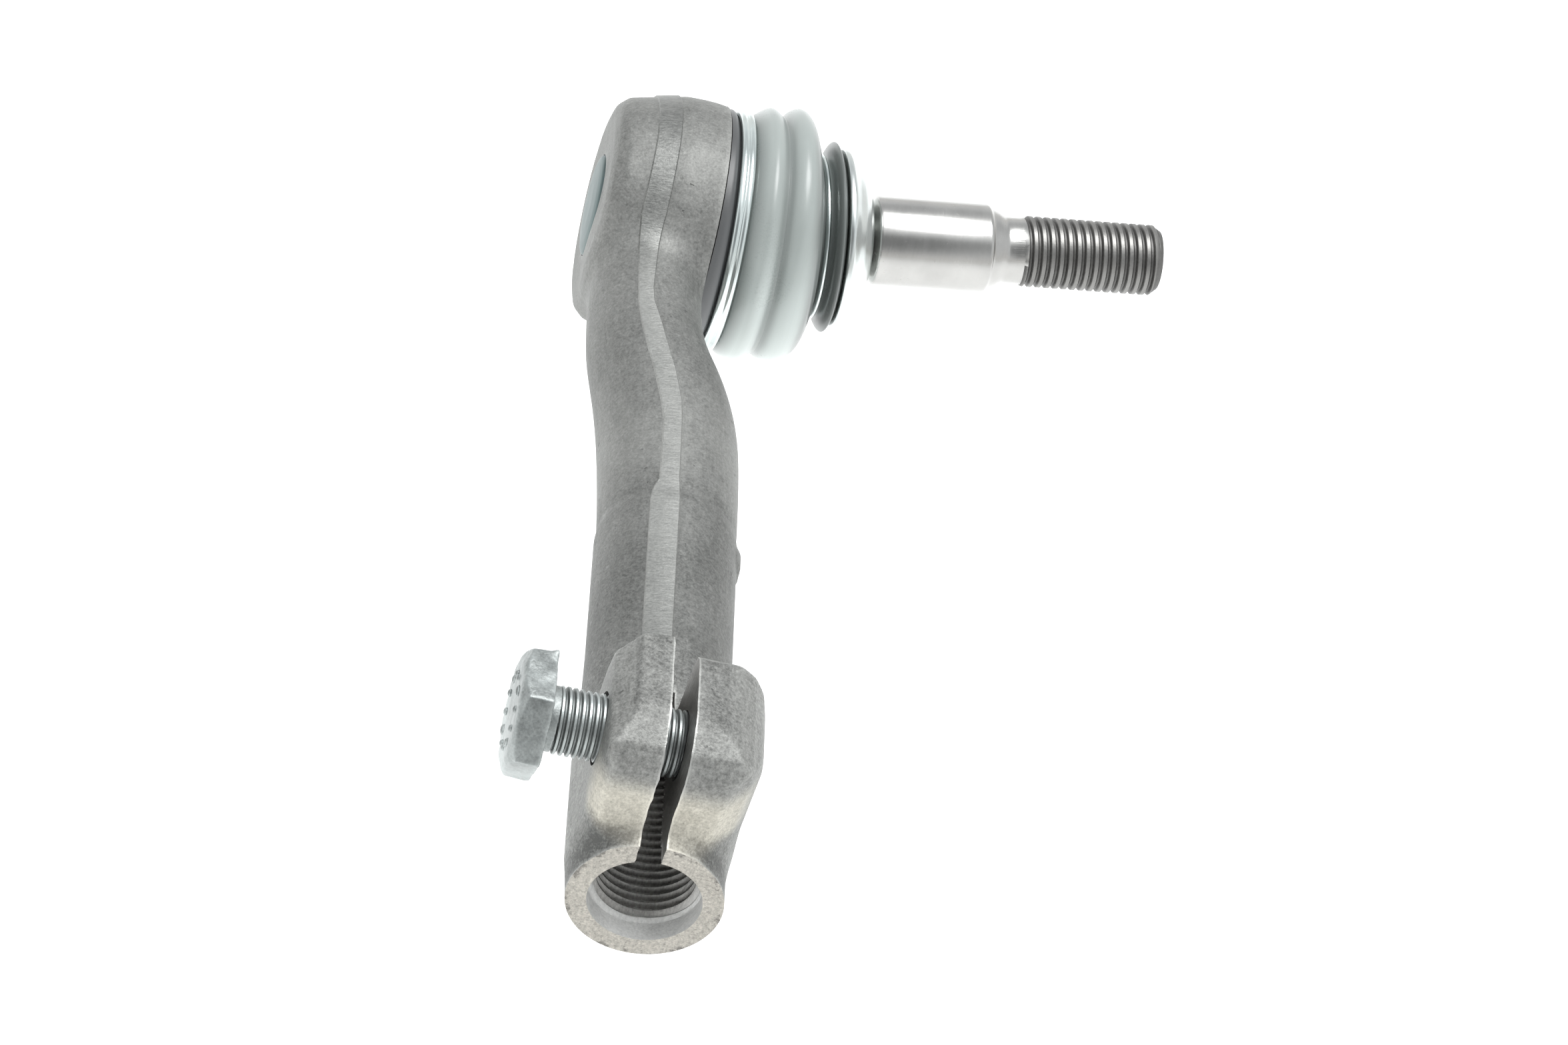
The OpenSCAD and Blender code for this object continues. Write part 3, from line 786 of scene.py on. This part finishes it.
def parting_path():
    """Where the parting strip runs: foot on the centre line, angle it looks out at, and its two edges across."""
    across = [(31, -4.9, -0.4), (72, -4.9, -0.4), (75, -4.6, -0.45), (77, -3.75, -0.6), (90, -3.7, -0.7),
              (95, -4.3, -0.9), (102, -5.6, -2.1), (108, -7.0, -3.6), (113, -8.1, -4.8),
              (118, -8.85, -6.2), (122, -8.95, -6.5)]
    feet = [(y, 90.0) for y in np.arange(29.0, 120, 0.8)]
    feet += [(151 - 31 * s, 140 - 50 * s) for s in np.linspace(1, 0, 24)]
    feet += [(151.0, angle) for angle in np.linspace(138, 0, 90)]
    path = []
    ys, lefts, rights = zip(*across)
    for foot, angle in feet:
        if foot < 120.5:
            left, right = np.interp(foot, ys, lefts), np.interp(foot, ys, rights)
        else:
            t = np.clip((151 - foot) / 31, 0, 1) if foot < 151 else 0.0
            far = np.clip((140 - angle) / 40, 0, 1) if foot >= 151 else 0.0
            left = -8.95 * t + (1 - t) * (-10.0 * (1 - far) - 9.4 * far)
            right = -6.5 * t + (1 - t) * (-5.9 * (1 - far) - 5.5 * far)
        path.append((foot, angle, left, right))
    return path


def strip_piece(name, path, height):
    """A thin raised strip that lies on the forging along a path; each row looks out from a foot at an angle."""
    rows = []
    for foot, angle, left, right in path:
        width = right - left
        edge = 0.2 / width
        lifts = ((0.0, 0.02), (edge, height), (0.33, height), (0.67, height), (1 - edge, height), (1.0, 0.02))
        for share, lift in lifts:
            rows.append((left + width * share, foot, angle, lift))
    rows = np.array(rows)
    way = np.stack([np.zeros(len(rows)), np.cos(np.radians(rows[:, 2])), np.sin(np.radians(rows[:, 2]))], 1)
    base = np.stack([rows[:, 0], rows[:, 1], np.zeros(len(rows))], 1)
    reach = np.full(len(rows), 30.0)
    for _ in range(60):
        reach -= 0.8 * (forging(base + way * reach[:, None]) - rows[:, 3])
    bm = bmesh.new()
    bmesh.ops.create_grid(bm, x_segments=5, y_segments=len(path) - 1, size=1)
    ordered = sorted(bm.verts, key=lambda v: (round(v.co.y, 6), v.co.x))
    spots = (base + way * reach[:, None]) * MM
    for v, spot in zip(ordered, spots):
        v.co = spot
    under = bmesh.ops.duplicate(bm, geom=bm.verts[:] + bm.edges[:] + bm.faces[:])
    sunk = {v for v in under["geom"] if isinstance(v, bmesh.types.BMVert)}
    lookup = {tuple(v.co): k for k, v in enumerate(ordered)}
    for v in sunk:
        v.co -= Vector(way[lookup[tuple(v.co)]]) * 0.9 * MM
    rims = [e for e in bm.edges if e.is_boundary]
    bmesh.ops.bridge_loops(bm, edges=rims)
    bmesh.ops.triangulate(bm, faces=bm.faces[:])
    bmesh.ops.recalc_face_normals(bm, faces=bm.faces)
    return new_piece(name, bm)


def slot_tool():
    """The slitting cut, with the slightly bruised edge of its left wall."""
    tool = block("slot", (SLOT_LEFT, -4, 1), (SLOT_RIGHT, SLOT_END, 34), cuts=40)
    p = points_of(tool.data)
    wave = 0.09 * np.sin(p[:, 2] * 1.7 + 0.8 * np.sin(p[:, 1] * 0.9)) * np.sin(p[:, 1] * 1.1 + 1.3) \
        + 0.05 * np.sin(p[:, 2] * 4.1 + p[:, 1] * 2.3)
    outer = np.clip((p[:, 2] - 12) / 6, 0, 1) + np.clip((4 - p[:, 1]) / 3, 0, 1)
    left, right = p[:, 0] < SLOT_LEFT + 0.01, p[:, 0] > SLOT_RIGHT - 0.01
    p[:, 0] += wave * np.clip(outer, 0, 1) * (left * 1.0 + right * 0.45)
    move_points(tool.data, p)
    return tool


def socket_trim(along, radius):
    """Socket tool: counterbore with a cone at the mouth, thread that fades out, drill point at the bottom."""
    if along < 3.2:
        return COUNTERBORE
    if along < 5.6:
        radius = max(radius, COUNTERBORE - (along - 3.2) * 1.0)
    if along > 33:
        radius = min(radius, max(SOCKET_ROOT, SOCKET_CREST - (along - 33) * 0.4))
    if along > 36.5:
        radius = max(0.3, SOCKET_ROOT - (along - 36.5) * 2.0)
    return radius


def build_housing(sizes):
    piece = rough_forging(sizes.grid)
    p = points_of(piece.data)
    for _ in range(4):
        f = forging(p)
        g = slope(forging, p, f)
        step = f[:, None] * g / np.maximum((g * g).sum(1), 0.3)[:, None]
        size = np.linalg.norm(step, axis=1, keepdims=True)
        p -= step * np.minimum(1, 1.2 / np.maximum(size, 1e-9))
    move_points(piece.data, p)
    bm = bmesh.new()
    bm.from_mesh(piece.data)
    bmesh.ops.smooth_vert(bm, verts=bm.verts, factor=0.5, use_axis_x=True, use_axis_y=True, use_axis_z=True)
    bmesh.ops.bisect_plane(bm, geom=bm.verts[:] + bm.edges[:] + bm.faces[:], dist=1e-6, plane_co=(0, 0, 0),
                           plane_no=(0, -1, 0), clear_outer=True)
    rims = [e for e in bm.edges if e.is_boundary]
    bmesh.ops.holes_fill(bm, edges=rims, sides=0)
    bmesh.ops.recalc_face_normals(bm, faces=bm.faces)
    bm.to_mesh(piece.data)
    bm.free()

    height = sizes.parting_height / MM
    over = parting_path()
    under = [(foot, -angle, left, right) for foot, angle, left, right in reversed(over[:-1])]
    under += [(y, -90.0, -4.9, -0.4) for y in np.arange(28.2, 1, -0.8)]
    cut(piece, strip_piece("strip", over + under, height), "UNION")

    at_ball = Matrix.Translation(Vector(BALL) * MM)
    to_y = Matrix.Rotation(math.pi / 2, 4, "Z")
    tools = [
        threaded("socket", -3, 39.8, sizes.socket_pitch / MM, SOCKET_CREST, SOCKET_ROOT, socket_trim, 96, to_y),
        turned("clearance", [(0, -18), (5.4, -18), (5.4, -2.2), (0, -2.2)], 96,
               Matrix.Translation((0, BOLT_Y * MM, BOLT_Z * MM)), closed=False),
        threaded("tapped", -1.2, 9.4, 1.0, TAPPED_CREST, TAPPED_ROOT,
                 lambda along, radius: min(radius, TAPPED_ROOT + max(0, 9.1 - along) * 2), 72,
                 Matrix.Translation((0, BOLT_Y * MM, BOLT_Z * MM))),
        turned("room", [(0, -20), (8.64, -20), (8.64, -16.2), (14.24, -16.2), (14.24, -14.2), (13.04, -14.2),
                        (13.04, 1.5), (10.3, 6.5), (12.4, 9.3), (13.4, 12), (0, 12)], 128, at_ball, closed=False),
        turned("rim", [(17.3, 1.3), (28, 1.3), (28, 14), (17.3, 14)], 160, at_ball),
    ]
    cut(piece, joined(tools))
    cut(piece, slot_tool())

    mesh = piece.data
    count = len(mesh.polygons)
    centre, normal = np.empty(count * 3), np.empty(count * 3)
    mesh.polygons.foreach_get("center", centre)
    mesh.polygons.foreach_get("normal", normal)
    centre, normal = centre.reshape(-1, 3) / MM, normal.reshape(-1, 3)
    f = forging(centre)
    g = slope(forging, centre, f)
    facing = (g * normal).sum(1) / np.maximum(np.linalg.norm(g, axis=1), 1e-6)
    kind = np.where((np.abs(f) < 0.35) & (facing > 0.6), 0, 2)
    kind = np.where((f > 0.07) | ((f > 0) & (facing < 0.6)), 1, kind)
    kind = np.where((np.abs(centre[:, 1]) < 0.01) & (normal[:, 1] < -0.9), 3, kind)
    kind[(np.hypot(centre[:, 1] - STAMP[0], centre[:, 2] - STAMP[1]) < 4) & (centre[:, 0] > 9)] = 0
    mesh.materials.clear()
    for material in (forged_finish(sizes), parting_finish(sizes), cut_finish(), face_finish(sizes)):
        mesh.materials.append(material)
    mesh.polygons.foreach_set("material_index", kind.astype(np.int32))
    edge_share(piece, 0.22, 0.7, blur=2)
    smooth(piece, 30)
    piece.name = "housing_skin"
    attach(piece, "housing_body")
    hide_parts("housing")
    return piece


# ---------------------------------------------------------------- boot

BOOT_OUTSIDE = [
    (20.3, 1.55), (20.35, 2.7), (19.95, 3.4), (19.3, 3.85), (19.3, 6.35), (19.75, 6.6),
    (20.6, 7.8), (21.2, 8.9), (21.5, 10.0),
    (20.9, 11.2), (20.15, 12.0), (20.05, 12.4), (20.15, 12.8), (20.9, 13.6), (21.5, 15.1), (21.0, 16.8), (19.6, 18.2),
    (17.0, 19.2), (14.2, 19.6), (13.2, 19.85), (13.0, 20.2), (13.0, 21.2), (13.5, 21.7), (15.2, 22.1), (16.0, 22.7),
    (16.0, 23.1), (14.6, 23.65),
]
BOOT_INSIDE = [
    (17.36, 1.55), (17.36, 9.1), (18.2, 9.8), (18.9, 10.6), (18.4, 11.9), (18.25, 12.4), (18.4, 12.9), (19.4, 14.2),
    (19.7, 15.1), (19.2, 16.1), (17.8, 17.1), (15.5, 17.7), (12.6, 18.1), (10.4, 19.0), (9.66, 20.2), (9.66, 23.6),
]
# How far along: tilt in degrees, push sideways
BOOT_LEAN = [(1.5, 0.0, 0.25), (3.6, 2.5, 0.3), (7.5, 2.5, 0.3), (10.8, 3.8, 0.4),
             (15.5, 5.6, 0.5), (19.6, 8.4, 0.0), (26, 8.4, 0.0)]
BOOT_SPLIT = 12.4


def boot_spot(radius, along, turn):
    """A point of the boot, in metres, whose rings lean more and more towards the lip."""
    stations, tilts, shifts = zip(*BOOT_LEAN)
    place = lean(np.interp(along, stations, tilts), np.interp(along, stations, shifts))
    return place @ Vector((along * MM, radius * math.cos(turn) * MM, radius * math.sin(turn) * MM))


def boot_piece(name, outline, steps):
    bm = bmesh.new()
    hollow = bm.verts.layers.float.new("hollow")
    rings = []
    for radius, along in outline:
        made = bmesh.ops.create_circle(bm, cap_ends=False, radius=1, segments=steps)["verts"]
        for v in made:
            turn = math.atan2(v.co.y, v.co.x)
            v.co = boot_spot(radius, along, turn)
            # painted shade share: how deep the point lies in a fold valley
            v[hollow] = min(1.0, max(0.0, (21.1 - radius) / 1.2)) if along > 3.4 else 0.0
        rings.append([e for e in {e for v in made for e in v.link_edges}])
    for one, other in zip(rings, rings[1:] + rings[:1]):
        bmesh.ops.bridge_loops(bm, edges=one + other)
    bmesh.ops.recalc_face_normals(bm, faces=bm.faces)
    return new_piece(name, bm)


def build_boot(sizes):
    outside = softened(BOOT_OUTSIDE, 0.9, closed=False)
    inside = softened(BOOT_INSIDE, 0.8, closed=False)
    lower = [p for p in outside if p[1] < BOOT_SPLIT] + [(20.05, BOOT_SPLIT)]
    lower += [(18.25, BOOT_SPLIT)] + [p for p in reversed(inside) if p[1] < BOOT_SPLIT]
    upper = [(20.05, BOOT_SPLIT)] + [p for p in outside if p[1] > BOOT_SPLIT]
    upper += [p for p in reversed(inside) if p[1] > BOOT_SPLIT] + [(18.25, BOOT_SPLIT)]
    skin = rubber_finish("Boot_rubber", tuple(sizes.colour))
    bead = rubber_finish("Boot_bead", tuple(sizes.bead), 0.4)
    stations, tilts, _ = zip(*BOOT_LEAN)
    along = lean(np.interp(BOOT_SPLIT, stations, tilts), 0.4).to_3x3() @ Vector((1, 0, 0))
    seam = lean(4.43, 0.43) @ Vector((BOOT_SPLIT * MM, 0, 0))
    pieces = []
    for name, outline, bodies, span in (
        ("dust_boot_lower", lower, ("housing_body", "boot_body"), (-3.7, -0.25)),
        ("dust_boot_upper", upper, ("boot_body", "boot_end_body"), (0.25, 7.2)),
    ):
        piece = boot_piece(name, outline, sizes.steps)
        paint(piece, skin, bead)
        if name == "dust_boot_lower":
            back = lean(2.5, 0.3).inverted()
            for polygon in piece.data.polygons:
                polygon.material_index = int((back @ polygon.center).x < 5.0 * MM)
        smooth(piece, 60)
        tuple(seam + along * span[0] * MM)
        tuple(seam + along * span[1] * MM)
        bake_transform(piece)
        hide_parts("dust_boot")
        pieces.append(piece)
    return pieces


# ---------------------------------------------------------------- rings, plate and stud

def build_rings():
    chrome = bright_finish("Bright_ring", (0.76, 0.83, 0.82), 0.2, 0.04, 0.1)
    plate = bright_finish("Closing_plate_steel", (0.13, 0.17, 0.17), 0.42, 0.3, 0.4)
    washer = bright_finish("Sealing_ring_chrome", (0.76, 0.8, 0.79), 0.22, 0.08, 0.05)
    lip = rubber_finish("Lip_ring_steel", (0.2, 0.24, 0.24), 0.25)
    rows = [
        ("boot_clamp_ring_large", "housing_body", "ring_chrome", chrome, (2.5, 0.3), 0.35,
         [(19.34, 3.85), (20.2, 3.87), (20.5, 4.3), (20.5, 4.75), (20.22, 5.1),
          (20.5, 5.45), (20.5, 5.9), (20.2, 6.33), (19.34, 6.35)]),
        ("boot_clamp_ring_small", "boot_end_body", "ring_chrome", chrome, (8.4, 0.0), 0.25,
         [(13.04, 20.25), (13.7, 20.28), (13.92, 20.55), (13.92, 20.85), (13.7, 21.12), (13.04, 21.15)]),
        ("seat_ring", "stud_body", "ring_chrome", washer, (8.4, 0.0), 0.5,
         [(5.4, 24.0), (14.8, 24.0), (15.1, 24.3), (15.1, 25.0), (14.8, 25.3), (13.6, 26.2), (12.4, 27.4), (10.8, 28.5),
          (8.8, 29.3), (7.2, 29.6), (5.4, 29.6)]),
        ("closing_plate", "housing_body", "plate_steel", plate, (0.0, 0.0), 0.4,
         [(0, -18.0), (4, -17.95), (7, -17.7), (8.2, -17.4), (8.6, -17.0), (8.6, -16.15),
          (14.2, -16.15), (14.2, -14.25), (0, -14.25)]),
        ("boot_lip_ring", "boot_end_body", "plate_steel", lip, (8.4, 0.0), 0.25, None),
    ]
    for node, body, slot, material, (tilt, shift), radius, outline in rows:
        if outline is None:
            paint(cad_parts[node], material)
            continue
        closed = outline[0][0] > 0
        name = node.replace("seat", "sealing") + "_turned"
        piece = turned(name, softened(outline, radius, closed), 160, lean(tilt, shift), closed)
        paint(smooth(piece, 35), material)
        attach(piece, body)
        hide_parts(node)


def build_stud(sizes):
    ball = [(11 * math.sin(a), 11 * math.cos(a)) for a in np.linspace(math.pi, math.radians(29.4), 30)]
    ball[0] = (0, -11)
    shank = [(5.4, 11.2), (5.4, 29.7), (6.7, 30.4), (7.5, 30.8), (7.5, 49.9), (6.9, 50.4), (6.3, 51.8), (5.6, 53.0),
             (5.6, 56.4)]
    shank = softened(shank, 0.35, closed=False)
    place = lean(8.4)
    piece = turned("ball_stud_turned", ball + shank + [(0, 56.4)], 144, place, closed=False)
    crest, depth = STUD_CREST, sizes.depth / MM

    def trim(along, radius):
        radius = min(radius, 5.6 + max(0, along - 56.0) * 0.7)
        return min(radius, 5.0 + max(0, STUD_END - along) * 0.83)

    thread = threaded("thread", STUD_THREAD_START, STUD_END, sizes.pitch / MM, crest, crest - depth, trim, 96,
                      place, 0.19)
    cut(piece, thread, "UNION")
    ground = bright_finish("Ground_steel", tuple(sizes.colour), 0.24, 0.2, 0.3)
    along = place.to_3x3() @ Vector((1, 0, 0))
    rolled = thread_finish("Rolled_thread", tuple(sizes.thread_colour), crest * MM, (crest - depth) * MM, along,
                           Vector(BALL) * MM)
    paint(piece, ground, rolled)
    back = place.inverted()
    for polygon in piece.data.polygons:
        polygon.material_index = int((back @ polygon.center).x > 56.2 * MM)
    smooth(piece, 40)
    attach(piece, "stud_body")
    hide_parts("ball_stud")
    return piece


# ---------------------------------------------------------------- clamp bolt

def build_bolt(sizes):
    at_bolt = Matrix.Translation((0, BOLT_Y * MM, BOLT_Z * MM))
    corner = sizes.flats / 2 / math.cos(math.pi / 6)
    face = BOLT_FACE + 0.35  # the raised marks stand between the two
    bm = bmesh.new()
    bmesh.ops.create_circle(bm, cap_ends=True, radius=corner, segments=6)
    raised = bmesh.ops.extrude_face_region(bm, geom=bm.faces[:])
    bmesh.ops.translate(bm, vec=(0, 0, (BOLT_SEAT - face) * MM),
                        verts=[v for v in raised["geom"] if isinstance(v, bmesh.types.BMVert)])
    turn = Matrix.Translation((face * MM, 0, 0)) @ Matrix.Rotation(math.pi / 2, 4, "Y")
    bmesh.ops.transform(bm, matrix=turn, verts=bm.verts)
    close(bm)
    head = new_piece("pinch_bolt_head", bm)
    reach = sizes.flats / 2 / MM
    cone = turned("cone", [(0, face), (reach - 1.0, face), (reach - 0.6, face + 0.1), (reach + 1.4, face + 1.2),
                           (reach + 1.4, BOLT_SEAT - 0.25), (reach + 1.0, BOLT_SEAT), (0, BOLT_SEAT)],
                  96, None, closed=False)
    cut(head, cone, "INTERSECT")
    fuse = head.modifiers.new("Fuse", "REMESH")
    fuse.mode, fuse.voxel_size = "VOXEL", 0.00028
    settle(head)
    bm = bmesh.new()
    bm.from_mesh(head.data)
    for _ in range(3):
        bmesh.ops.smooth_vert(bm, verts=bm.verts, factor=0.5, use_axis_x=True, use_axis_y=True, use_axis_z=True)
    bm.to_mesh(head.data)
    bm.free()
    p = points_of(head.data)
    n = np.empty(len(p) * 3)
    head.data.vertex_normals.foreach_get("vector", n)
    n = n.reshape(-1, 3)
    dent = sum(0.045 / k * np.sin(p @ np.array(d) * k + k) for k, d in
               ((1, (0.9, 1.3, -0.8)), (2, (-0.7, 0.9, 0.8)), (3, (0.8, -0.6, 0.9)), (5, (0.6, 0.8, -0.5))))
    burr_gap = np.linalg.norm(p - np.array([BOLT_SEAT - 0.1, 5.4, 8.3]), axis=1)
    p += n * (dent - 0.07)[:, None]
    p += np.array([0.0, 0.15, 0.5]) * np.exp(-(burr_gap / 0.8) ** 2)[:, None] * (p[:, :1] < BOLT_SEAT - 0.02)
    p[:, 0] = np.clip(p[:, 0], BOLT_FACE, BOLT_SEAT)
    move_points(head.data, p)
    marks = []
    for k in range(12):
        a = TAU * k / 12 + 0.2
        bm = bmesh.new()
        long = 0.95 if k % 3 else 1.5
        bmesh.ops.create_uvsphere(bm, u_segments=12, v_segments=8, radius=1)
        bmesh.ops.scale(bm, vec=(0.42 * MM, long * 0.62 * MM, 0.5 * MM), verts=bm.verts)
        place = Matrix.Rotation(a, 4, "X") @ Matrix.Translation(((face + 0.05) * MM, 0, 5.35 * MM))
        bmesh.ops.transform(bm, matrix=place, verts=bm.verts)
        marks.append(new_piece("mark", bm))
    cut(head, joined(marks), "UNION")
    crest, depth = BOLT_CREST, sizes.depth / MM

    def trim(along, radius):
        if along < BOLT_SEAT + 1.5:
            return 4.75
        return min(radius, 4.0 + max(0, BOLT_END - along) * 1.0)

    shank = threaded("shank", BOLT_SEAT - 1.5, BOLT_END, sizes.pitch / MM, crest, crest - depth, trim, 72, None, 0.16)
    cut(head, shank, "UNION")
    head.data.transform(at_bolt)
    edge_share(head, 0.35, 1.4, blur=2)
    thread = thread_finish("Bolt_thread", tuple(c * 1.3 for c in sizes.colour), crest * MM, (crest - depth) * MM,
                           (1, 0, 0), (0, BOLT_Y * MM, BOLT_Z * MM))
    paint(head, zinc_finish(sizes), thread)
    for polygon in head.data.polygons:
        c = polygon.center
        from_axis = math.hypot(c.y - BOLT_Y * MM, c.z - BOLT_Z * MM)
        polygon.material_index = int(c.x > (BOLT_SEAT + 1.4) * MM and from_axis < 5.1 * MM)
    smooth(head, 38)
    head.name = "pinch_bolt_head_and_thread"
    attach(head, "bolt_body")
    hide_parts("pinch_bolt")
    return head


# ---------------------------------------------------------------- stage

CAMERA_PLACE = Vector((-0.09622, -0.42230, 0.46365))
CAMERA_RIGHT = Vector((0.96470735, 0.0213145, 0.26246031))
CAMERA_UP = Vector((-0.20513908, 0.68575495, 0.69832522))
CAMERA_LENS = 101.96


def build_stage(sizes):
    scene = bpy.context.scene
    scene.view_settings.view_transform = "Standard"
    bm = bmesh.new()
    bmesh.ops.create_grid(bm, x_segments=8, y_segments=8, size=4.0)
    bmesh.ops.translate(bm, vec=(0, 0.08, -sizes.floor_drop), verts=bm.verts)
    floor = new_piece("floor", bm)
    f = Finish("Pale_floor")
    soft = f.noise(f.place(), 3.0, 2.0, 0.5)
    tint = f.mix(soft, (0.93, 0.93, 0.925), (0.97, 0.97, 0.965))
    paint(floor, f.finish(Base_Color=tint, Roughness=0.9, Emission_Color=(1, 1, 1), Emission_Strength=0.3))

    camera_data = bpy.data.cameras.new("camera")
    camera_data.lens, camera_data.sensor_width, camera_data.sensor_fit = CAMERA_LENS, 36.0, "HORIZONTAL"
    camera_data.clip_start, camera_data.clip_end = 0.01, 50
    camera_data.dof.use_dof = False
    camera = bpy.data.objects.new("camera", camera_data)
    back = CAMERA_RIGHT.cross(CAMERA_UP)
    camera.matrix_world = Matrix((
        (CAMERA_RIGHT.x, CAMERA_UP.x, back.x, CAMERA_PLACE.x),
        (CAMERA_RIGHT.y, CAMERA_UP.y, back.y, CAMERA_PLACE.y),
        (CAMERA_RIGHT.z, CAMERA_UP.z, back.z, CAMERA_PLACE.z),
        (0, 0, 0, 1)))
    scene.collection.objects.link(camera)
    scene.camera = camera

    lamp_data = bpy.data.lights.new("overhead", "AREA")
    lamp_data.energy, lamp_data.size = sizes.lamp, 0.6
    lamp = bpy.data.objects.new("overhead", lamp_data)
    lamp.location = (0.1, 0.25, 1.1)
    lamp.rotation_mode = "QUATERNION"
    lamp.rotation_quaternion = (lamp.location - Vector((0, 0.08, 0))).to_track_quat("Z", "Y")
    scene.collection.objects.link(lamp)

    world = bpy.data.worlds.new("studio")
    world.use_nodes = True
    scene.world = world
    f = Finish("studio", world.node_tree)
    way = f.node("ShaderNodeTexCoord", {}, {}, "Generated")
    x, y, z = f.axes(way)
    toward = f.node("ShaderNodeVectorMath", {"operation": "DOT_PRODUCT"}, {0: way, 1: tuple(back)}, "Value")
    dark = toward.between(0.72, 0.97)
    top = z.between(0.78, 0.93)
    level = 0.92 - dark * 0.62 + top * 0.5 - (z.between(0.3, 0.6) * y.between(0.1, 0.6)) * 0.25
    background = world.node_tree.nodes["Background"]
    tint = f.mix(z.between(-0.2, 0.5), (1.0, 0.985, 0.955), (0.96, 0.985, 1.0))
    f.join(tint, background.inputs["Color"])
    f.join(level, background.inputs["Strength"])


# ---------------------------------------------------------------- add-on

class TIEROD_OT_stage(bpy.types.Operator):
    """Make the floor, the light and the camera"""
    bl_idname = "tierod.stage"
    bl_label = "Stage"

    def execute(self, context):
        build_stage(context.scene.tierod_stage)
        return {"FINISHED"}


class TIEROD_OT_housing(bpy.types.Operator):
    """Make the forged housing with its arm, clamp ears, slot and threaded socket"""
    bl_idname = "tierod.housing"
    bl_label = "Housing"

    def execute(self, context):
        build_housing(context.scene.tierod_housing)
        return {"FINISHED"}


class TIEROD_OT_boot(bpy.types.Operator):
    """Make the ribbed dust boot in two pieces, its rings leaning more towards the lip"""
    bl_idname = "tierod.boot"
    bl_label = "Dust boot"

    def execute(self, context):
        build_boot(context.scene.tierod_boot)
        return {"FINISHED"}


class TIEROD_OT_rings(bpy.types.Operator):
    """Make the clamp rings, the seat ring and the closing plate"""
    bl_idname = "tierod.rings"
    bl_label = "Rings and plate"

    def execute(self, context):
        build_rings()
        return {"FINISHED"}


class TIEROD_OT_stud(bpy.types.Operator):
    """Make the ball stud with its ground shank and rolled thread"""
    bl_idname = "tierod.stud"
    bl_label = "Ball stud"

    def execute(self, context):
        build_stud(context.scene.tierod_stud)
        return {"FINISHED"}


class TIEROD_OT_bolt(bpy.types.Operator):
    """Make the clamp bolt with its hexagon head and fine thread"""
    bl_idname = "tierod.bolt"
    bl_label = "Clamp bolt"

    def execute(self, context):
        build_bolt(context.scene.tierod_bolt)
        return {"FINISHED"}


class TIEROD_OT_inner_parts(bpy.types.Operator):
    """Give the pieces inside the joint their finishes"""
    bl_idname = "tierod.inner_parts"
    bl_label = "Inner parts"

    def execute(self, context):
        acetal = plain_finish("White_acetal", (0.8, 0.79, 0.74), 0.0, 0.4)
        spring = plain_finish("Spring_steel", (0.3, 0.31, 0.33), 1.0, 0.35)
        for node, material in (("preload_spring", spring), ("pressure_seat", acetal), ("bearing_seat", acetal)):
            paint(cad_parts[node], material)
        return {"FINISHED"}


class TIEROD_PT_panel(bpy.types.Panel):
    """Lists what the add-on makes"""
    bl_label = "Tie rod end"
    bl_idname = "TIEROD_PT_panel"
    bl_space_type = "VIEW_3D"
    bl_region_type = "UI"
    bl_category = "Tie rod"

    def draw(self, context):
        for key in SETTINGS:
            box = self.layout.box()
            settings = getattr(context.scene, key)
            for name in settings.__annotations__:
                box.prop(settings, name)
        for operator in OPERATORS:
            self.layout.operator(operator.bl_idname)


SETTINGS = {"tierod_stage": StageSizes, "tierod_housing": HousingSizes, "tierod_boot": BootSizes,
            "tierod_stud": StudSizes, "tierod_bolt": BoltSizes}
OPERATORS = (TIEROD_OT_stage, TIEROD_OT_housing, TIEROD_OT_boot, TIEROD_OT_rings, TIEROD_OT_stud, TIEROD_OT_bolt,
             TIEROD_OT_inner_parts)


def register():
    for item in (*SETTINGS.values(), *OPERATORS, TIEROD_PT_panel):
        bpy.utils.register_class(item)
    for key, group in SETTINGS.items():
        setattr(bpy.types.Scene, key, PointerProperty(type=group))


def unregister():
    for key in SETTINGS:
        delattr(bpy.types.Scene, key)
    for item in reversed((*SETTINGS.values(), *OPERATORS, TIEROD_PT_panel)):
        bpy.utils.unregister_class(item)


def main():
    register()
    for operator in OPERATORS:
        group, name = operator.bl_idname.split(".")
        getattr(getattr(bpy.ops, group), name)()


if __name__ == "__main__":
    main()
